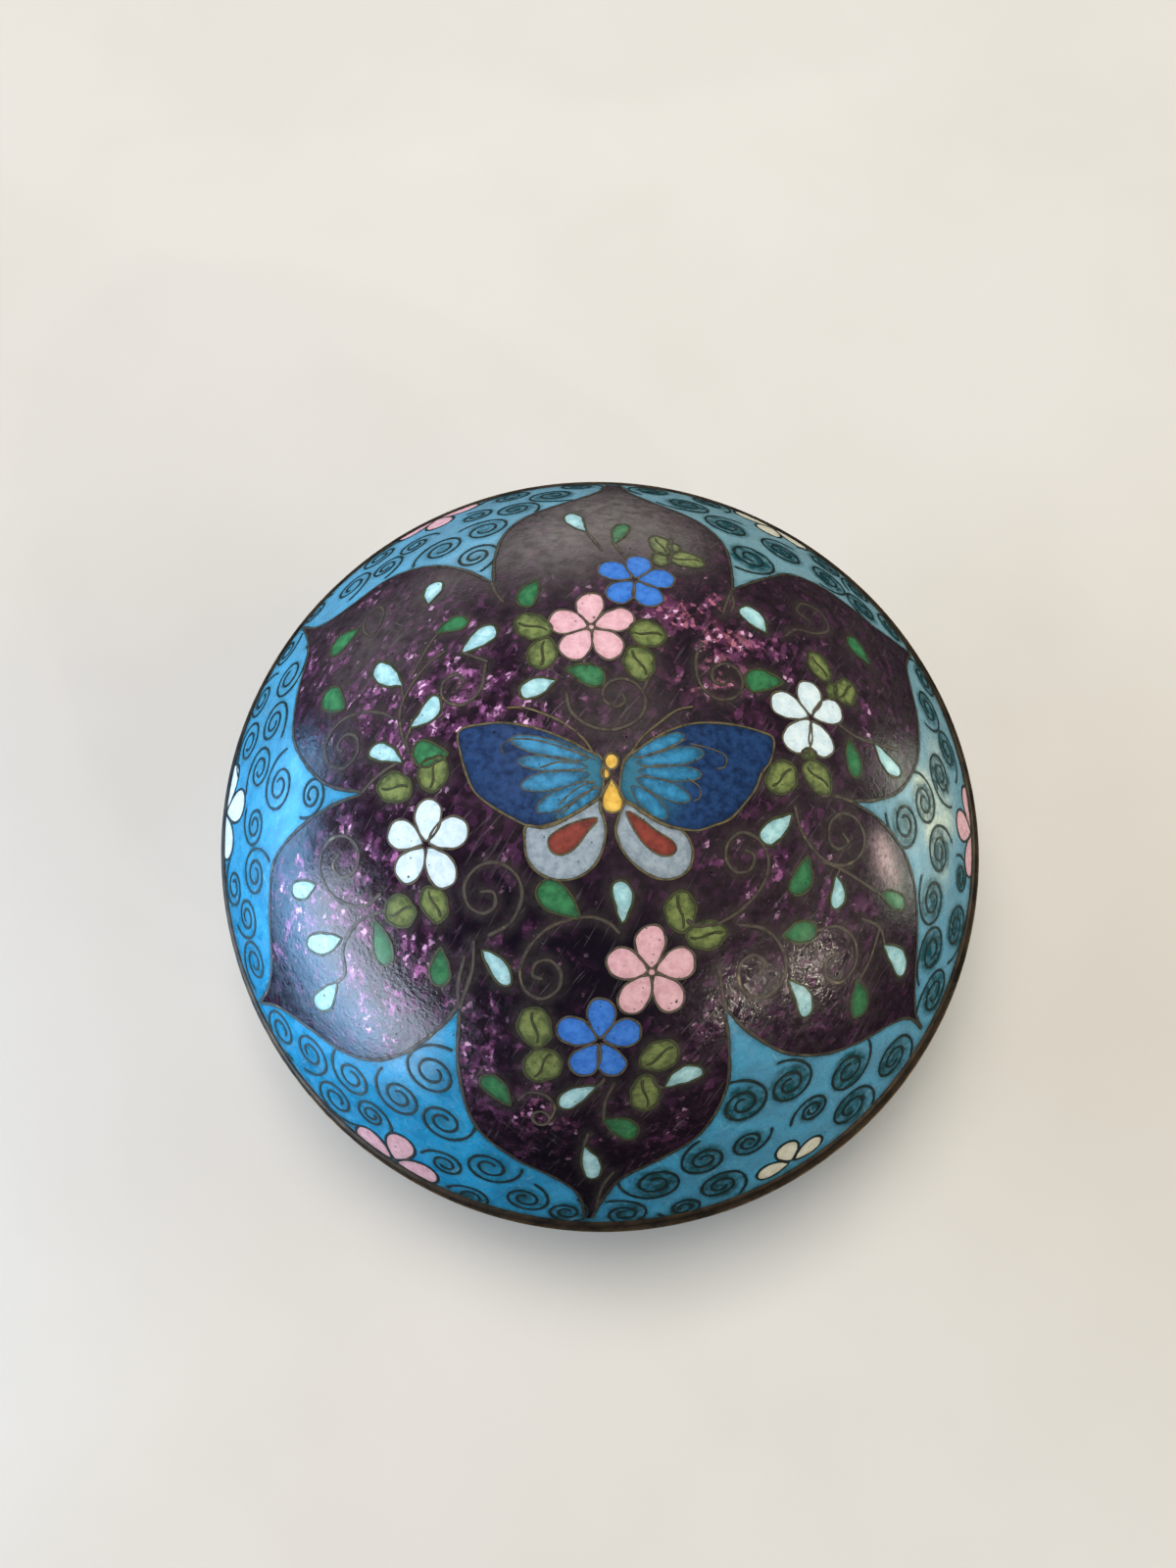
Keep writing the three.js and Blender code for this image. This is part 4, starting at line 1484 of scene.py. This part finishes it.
# the grey bloom mark is partly a painted reflection haze
marks = {"silt": silt_on_lid, "smoke_and_sheen": smoke_and_sheen_on_lid, "painted_glare": painted_glare_on_lid}
cased("lid", LID, lid_rows, ("lid_dome",), marks)

marks = {mark: partial(soft_spots, spots=spots) for mark, spots in PURPLE_MARKS.items()}
marks["film"] = film_on_cartouche
inlay(
    "lid_cartouche", LID, [cartouche], AVENTURINE, CARTOUCHE, 0.7, marks
)

# Points inside the cells and the wings of the butterfly lie about so far apart.
CELL_STEP = 0.9
WING_STEP = 0.8
NAMES = {
    "white": "white_petals",
    "cream": "cream_petals",
    "pink": "pink_petals",
    "blue": "blue_petals",
    "olive": "olive_leaves",
    "green": "green_leaves",
    "pale": "pale_drops",
}
for kind, name in NAMES.items():
    inlay("lid_" + name, LID, cells[kind], PICTURE[kind], INLAY, CELL_STEP)

upper = [bent(w, closed=True, step=0.35) for w in UPPER_WINGS]
lower = [bent(w, closed=True, step=0.35) for w in LOWER_WINGS]
drops = [bent(w, closed=True, step=OUTLINE_STEP) for w in WING_DROPS]
streaks = [drop_outline(root, tip, width, 0.0, 0.7) for root, tip, width in STREAKS]
body = [
    drop_outline((0.35, -0.1), (0.7, -3.7), 2.2, 0.0, 1.15),
    leaf_outline(np.array([0.3, 1.85]), 90, 1.7, 1.4),
    leaf_outline(np.array([-0.3, 0.5]), 110, 1.2, 0.8),
]


def near_body(layout):
    """The dark blue of the upper wings turns bright towards the body."""
    away = np.hypot(layout[:, 0] - 0.4, layout[:, 1] * 1.1)
    return np.clip(1.0 - (away - 3.5) / 5.5, 0, 1) * 0.95


fade = {"fade": near_body}
inlay("butterfly_upper_wings", LID, upper, PICTURE["wing"], INLAY, WING_STEP, fade)
inlay("butterfly_streaks", LID, streaks, PICTURE["streak"], STREAK, WING_STEP)
inlay("butterfly_lower_wings", LID, lower, PICTURE["grey"], INLAY, WING_STEP)
inlay("butterfly_drops", LID, drops, PICTURE["brick"], STREAK, WING_STEP)
inlay("butterfly_body", LID, body, PICTURE["yellow"], STREAK, 0.6)

wing_wires = [(grow(w, 0.05), True, 1.0) for w in upper + lower]
wing_wires += [(grow(w, 0.03), True, 0.7) for w in drops]
wing_wires += [(grow(w, 0.08), True, 0.9) for w in body]
wing_wires += [(grow(s, 0.05), True, 0.4) for s in streaks]
wing_wires += [(bent(w), False, 0.55) for w in WING_HOOKS]
wing_wires += [(bent(w), False, 1.0) for w in FEELERS]

wire_piece("lid_field_wire", LID, lid_field + rim_wires, DARK_WIRE, WIRE_WIDTH * 1.15)
wire_piece("lid_lobe_wire", LID, lobe_wires, GREY_WIRE, WIRE_WIDTH * 1.5)
wire_piece("lid_leaf_wire", LID, leaf_wires, LEAF_WIRE, WIRE_WIDTH)
wire_piece("lid_petal_wire", LID, petal_wires, PETAL_WIRE, WIRE_WIDTH * 0.9)
wire_piece("lid_picture_wire", LID, picture_wires, DULL_WIRE, WIRE_WIDTH * 1.45)
wire_piece("butterfly_wire", LID, wing_wires, GOLD_WIRE, WIRE_WIDTH, WIRE + 0.004)

# The bowl: the same turquoise and scrolls under the rim, and plain towards the foot.
bowl_blooms = [toward(place) * (BOWL.edge - 2.2) for _, place, _, _ in RIM_FLOWERS]
# The middles of the scrolls keep this far from the heart of a rim flower's petals.
BOWL_BLOOM_REACH = 8.2
# Rows of coils: how far each lies inside the enamel's edge, and how far apart its coils are.
BOWL_ROWS = [(3.4, 6.5), (9.4, 6.6), (15.2, 6.7)]


def pack_bowl():
    """Rows of coils under the bowl's rim, set by the same hand as on the lid."""
    placed = []
    for row, (inset, step) in enumerate(BOWL_ROWS):
        length = BOWL.edge - inset
        around = 2 * math.pi * BOWL.radius_at(length)
        count = int(around / step)
        for i in range(count):
            angle = 2 * math.pi * (i + 0.5 * row + DICE.uniform(-0.12, 0.12)) / count
            out = np.array([math.cos(angle), math.sin(angle)])
            point = (length + DICE.uniform(-0.4, 0.4)) * out
            if min(true_gap(BOWL, point, bloom) for bloom in bowl_blooms) > BOWL_BLOOM_REACH:
                placed.append([point, DICE.uniform(2.75, 3.1)])
    return placed


bowl_coils = pack_bowl()
bowl_field = coil_wires(BOWL, bowl_coils, lambda p: math.hypot(*p) > BOWL.edge)


def silt_on_bowl(layout):
    """Dirt on the bowl: along the rim, in the rows of scrolls and round the foot."""
    length = np.hypot(layout[:, 0], layout[:, 1])
    by_rim = np.clip((length - BOWL.edge + 2.5) / 2.5, 0, 1)
    by_foot = np.clip((FOOT_RADIUS + 3 - length) / 3, 0, 1)
    row = np.clip((length - BOWL.edge + 19) / 3, 0, 1) * 0.45
    return np.clip(by_rim * 0.5 + by_foot * 0.7 + row, 0, 1)


bowl_rows = np.concatenate(
    [np.linspace(2, FOOT_RADIUS - 3, 10), np.linspace(FOOT_RADIUS - 2, BOWL.edge, 56)]
)
marks = {"silt": silt_on_bowl, "smoke_and_sheen": lambda layout: np.full(len(layout), 0.2)}
cased("bowl", BOWL, bowl_rows, ("bowl",), marks)
for kind in ("white", "cream", "pink"):
    inlay("bowl_" + NAMES[kind], BOWL, bowl_cells[kind], PICTURE[kind], INLAY, CELL_STEP)
wire_piece("bowl_field_wire", BOWL, bowl_field + bowl_wires, DARK_WIRE, WIRE_WIDTH * 1.2)


# Brass: both rims, the collar that holds the lid, and the foot.
def inner_edge(skin):
    """The radius inside a rim, where the wall is cut level."""
    steep = np.interp(skin.edge, skin.lengths, skin.steepness)
    return skin.edge_radius - WALL * math.hypot(1, steep) / steep


def rim_side(skin, radius):
    """The rounded outside of a rim, from the seam to the enamel: (radius, height, rub)."""
    edge = skin.edge_radius
    rows = [
        (radius - 0.3, 0.0, 0.3),
        (radius - 0.13, 0.02, 0.8),
        (radius - 0.03, 0.1, 1.0),
        (radius, 0.24, 0.7),
        (radius, 0.36, 0.15),
        (radius - 0.05, 0.5, 0.05),
        (radius - 0.16, 0.66, 0.05),
        (radius - 0.3, 0.8, 0.1),
        (radius - 0.44, 0.91, 0.2),
        (edge + 0.1, BARE_BRASS - 0.04, 0.5),
        (edge - 0.02, BARE_BRASS, 0.4),
    ]
    return [(r, SEAM + skin.side * z, rub) for r, z, rub in rows]


inner = inner_edge(LID)
rows = rim_side(LID, LID_RADIUS) + [
    (inner + 0.15, SEAM + BARE_BRASS, 0.2),
    (inner, SEAM + BARE_BRASS - 0.15, 0.2),
    (inner, SEAM + 0.2, 0.3),
    (inner + 0.2, SEAM, 0.5),
]
turned("lid_rim_band", rows, LID_CENTRE, ("lid_rim",), 0.05)

# The collar leans in, so that the lid drops over it with ease.
COLLAR_RADIUS = 46.1
COLLAR_LEAN = 1.7
COLLAR_WALL = 0.9
tip = COLLAR_RADIUS - COLLAR_LEAN
collar_top = SEAM + COLLAR_HEIGHT
rows = [
    (inner_edge(BOWL) + 0.1, SEAM - BARE_BRASS, 0.2),
    *rim_side(BOWL, BOWL_RADIUS)[::-1],
    (COLLAR_RADIUS + 0.35, SEAM, 0.2),
    (COLLAR_RADIUS + 0.1, SEAM + 0.06, 0.2),
    (COLLAR_RADIUS - 0.02, SEAM + 0.25, 0.3),
    (tip + 0.1, collar_top - 0.25, 0.6),
    (tip - 0.08, collar_top - 0.04, 1.0),
    (tip - 0.3, collar_top, 1.0),
    (tip - COLLAR_WALL + 0.25, collar_top, 1.0),
    (tip - COLLAR_WALL + 0.05, collar_top - 0.1, 1.0),
    (tip - COLLAR_WALL, collar_top - 0.3, 0.6),
    (COLLAR_RADIUS - COLLAR_WALL, SEAM - 0.5, 0.2),
]
turned("bowl_rim_band", rows, BOWL_CENTRE, ("bowl_rim",), 0.05)

FOOT_WIDTH = 2.4
# The foot runs up a little into the ground enamel.
foot_top = FOOT_HEIGHT + 0.04
rows = [
    (FOOT_RADIUS - FOOT_WIDTH + 0.12, 0.0, 0.8),
    (FOOT_RADIUS - 0.5, 0.0, 0.8),
    (FOOT_RADIUS - 0.2, 0.12, 1.0),
    (FOOT_RADIUS - 0.05, 0.35, 1.0),
    (FOOT_RADIUS, 0.65, 0.6),
    (FOOT_RADIUS - 0.02, 1.1, 0.1),
    (FOOT_RADIUS - 0.16, 1.8, 0.0),
    (FOOT_RADIUS - 0.16, 2.3, 0.0),
    (FOOT_RADIUS - 0.02, 2.8, 0.1),
    (FOOT_RADIUS, foot_top, 0.3),
    (FOOT_RADIUS - FOOT_WIDTH, foot_top, 0.0),
    (FOOT_RADIUS - FOOT_WIDTH, 0.12, 0.5),
]
turned("foot_ring_band", rows, BOWL_CENTRE, ("foot_ring",), 0.04)

# ---------------------------------------------------------------- floor, light and camera


def make_floor():
    """A wide pale board."""
    mesh = bpy.data.meshes.new("floor")
    size = 4.0
    corners = [(-size, -size, 0), (size, -size, 0), (size, size, 0), (-size, size, 0)]
    mesh.from_pydata(corners, [], [[0, 1, 2, 3]])
    mesh.materials.append(pale_floor())
    floor = bpy.data.objects.new("floor", mesh)
    bpy.context.scene.collection.objects.link(floor)
    floor.visible_glossy = False


def lamp(name, azimuth, elevation, distance, width, height, power, colour, glare=True, fill=True):
    """A soft panel that looks at the box; azimuth is from +X towards +Y, in degrees.

    The distance, width and height are in metres and the power is in watts. Glare says
    whether it shows in the gloss, and fill whether it lights what it falls on.
    """
    light = bpy.data.lights.new(name, "AREA")
    light.shape = "RECTANGLE"
    light.size = width
    light.size_y = height
    light.energy = power
    light.color = srgb(colour)[:3]
    lamp_object = bpy.data.objects.new(name, light)
    turn, up = math.radians(azimuth), math.radians(elevation)
    out = Vector((math.cos(turn) * math.cos(up), math.sin(turn) * math.cos(up), math.sin(up)))
    target = Vector((0, 0, 0.03))
    lamp_object.location = target + out * distance
    lamp_object.rotation_mode = "QUATERNION"
    lamp_object.rotation_quaternion = out.to_track_quat("Z", "Y")
    lamp_object.visible_glossy = glare
    lamp_object.visible_diffuse = fill
    lamp_object.visible_camera = False
    bpy.context.scene.collection.objects.link(lamp_object)


def studio_air():
    """A dim room whose walls are lighter than its ceiling."""
    world = bpy.data.worlds.new("studio")
    world.use_nodes = True
    tree = world.node_tree
    tree.nodes.clear()
    way = add(tree, "TexCoord").outputs["Generated"]
    height = add(tree, "SeparateXYZ", {"Vector": way}).outputs["Z"]
    feeds = {"Value": height, "From Min": -0.3, "From Max": 0.3, "To Min": 0.04, "To Max": 0.13}
    strength = add(tree, "MapRange", feeds, interpolation_type="SMOOTHSTEP")
    feeds = {"Color": srgb("#e4e6ea"), "Strength": strength}
    air = add(tree, "Background", feeds)
    add(tree, "OutputWorld", {"Surface": air})
    bpy.context.scene.world = world


make_floor()
studio_air()
# The panel overhead, the window and the right wall light the box but leave no glare on
# it, as polarised lamps would. The sheens show in the gloss only: they are low strips that
# draw a soft light along the shoulder. The two small lamps give the bright glints.
lamp("overhead_panel", 112, 66, 1.3, 0.9, 0.7, 17.5, "#fffaf2", glare=False)
lamp("window", 178, 9, 1.8, 1.35, 0.5, 43.5, "#cfe2ff", glare=False)
lamp("window_sheen", 212, 5, 0.2, 0.17, 0.07, 0.34, "#c6d3e6", fill=False)
lamp("low_sheen", 194, -5, 0.13, 0.16, 0.03, 0.11, "#80c2fa", fill=False)
lamp("near_lamp", -47, 26, 1.0, 0.03, 0.03, 0.9, "#fff2de")
lamp("far_lamp", -28, 13, 1.0, 0.03, 0.03, 0.9, "#fff2de")
lamp("right_wall", 8, 18, 1.1, 0.5, 0.4, 4.6, "#f2f4e6", glare=False)
lamp("right_sheen", 6, -5, 0.13, 0.07, 0.03, 0.02, "#e6f0dc", fill=False)
lamp("back_sheen", 100, -2, 0.14, 0.14, 0.04, 0.018, "#d8d4cc", fill=False)

camera_data = bpy.data.cameras.new("camera")
camera_data.sensor_fit = "AUTO"
camera_data.sensor_width = 36.0
camera_data.lens = 24.95
camera_data.clip_start = 0.01
camera = bpy.data.objects.new("camera", camera_data)
camera.location = (-0.00333, -0.02531, SEAM * MM + 0.14258)
camera.rotation_mode = "ZYX"
tilt = [math.radians(angle) for angle in (12.42, -0.46, 2.53)]
camera.rotation_euler = Euler(tilt, "ZYX")
bpy.context.scene.collection.objects.link(camera)
bpy.context.scene.camera = camera
bpy.context.scene.view_settings.view_transform = "Standard"
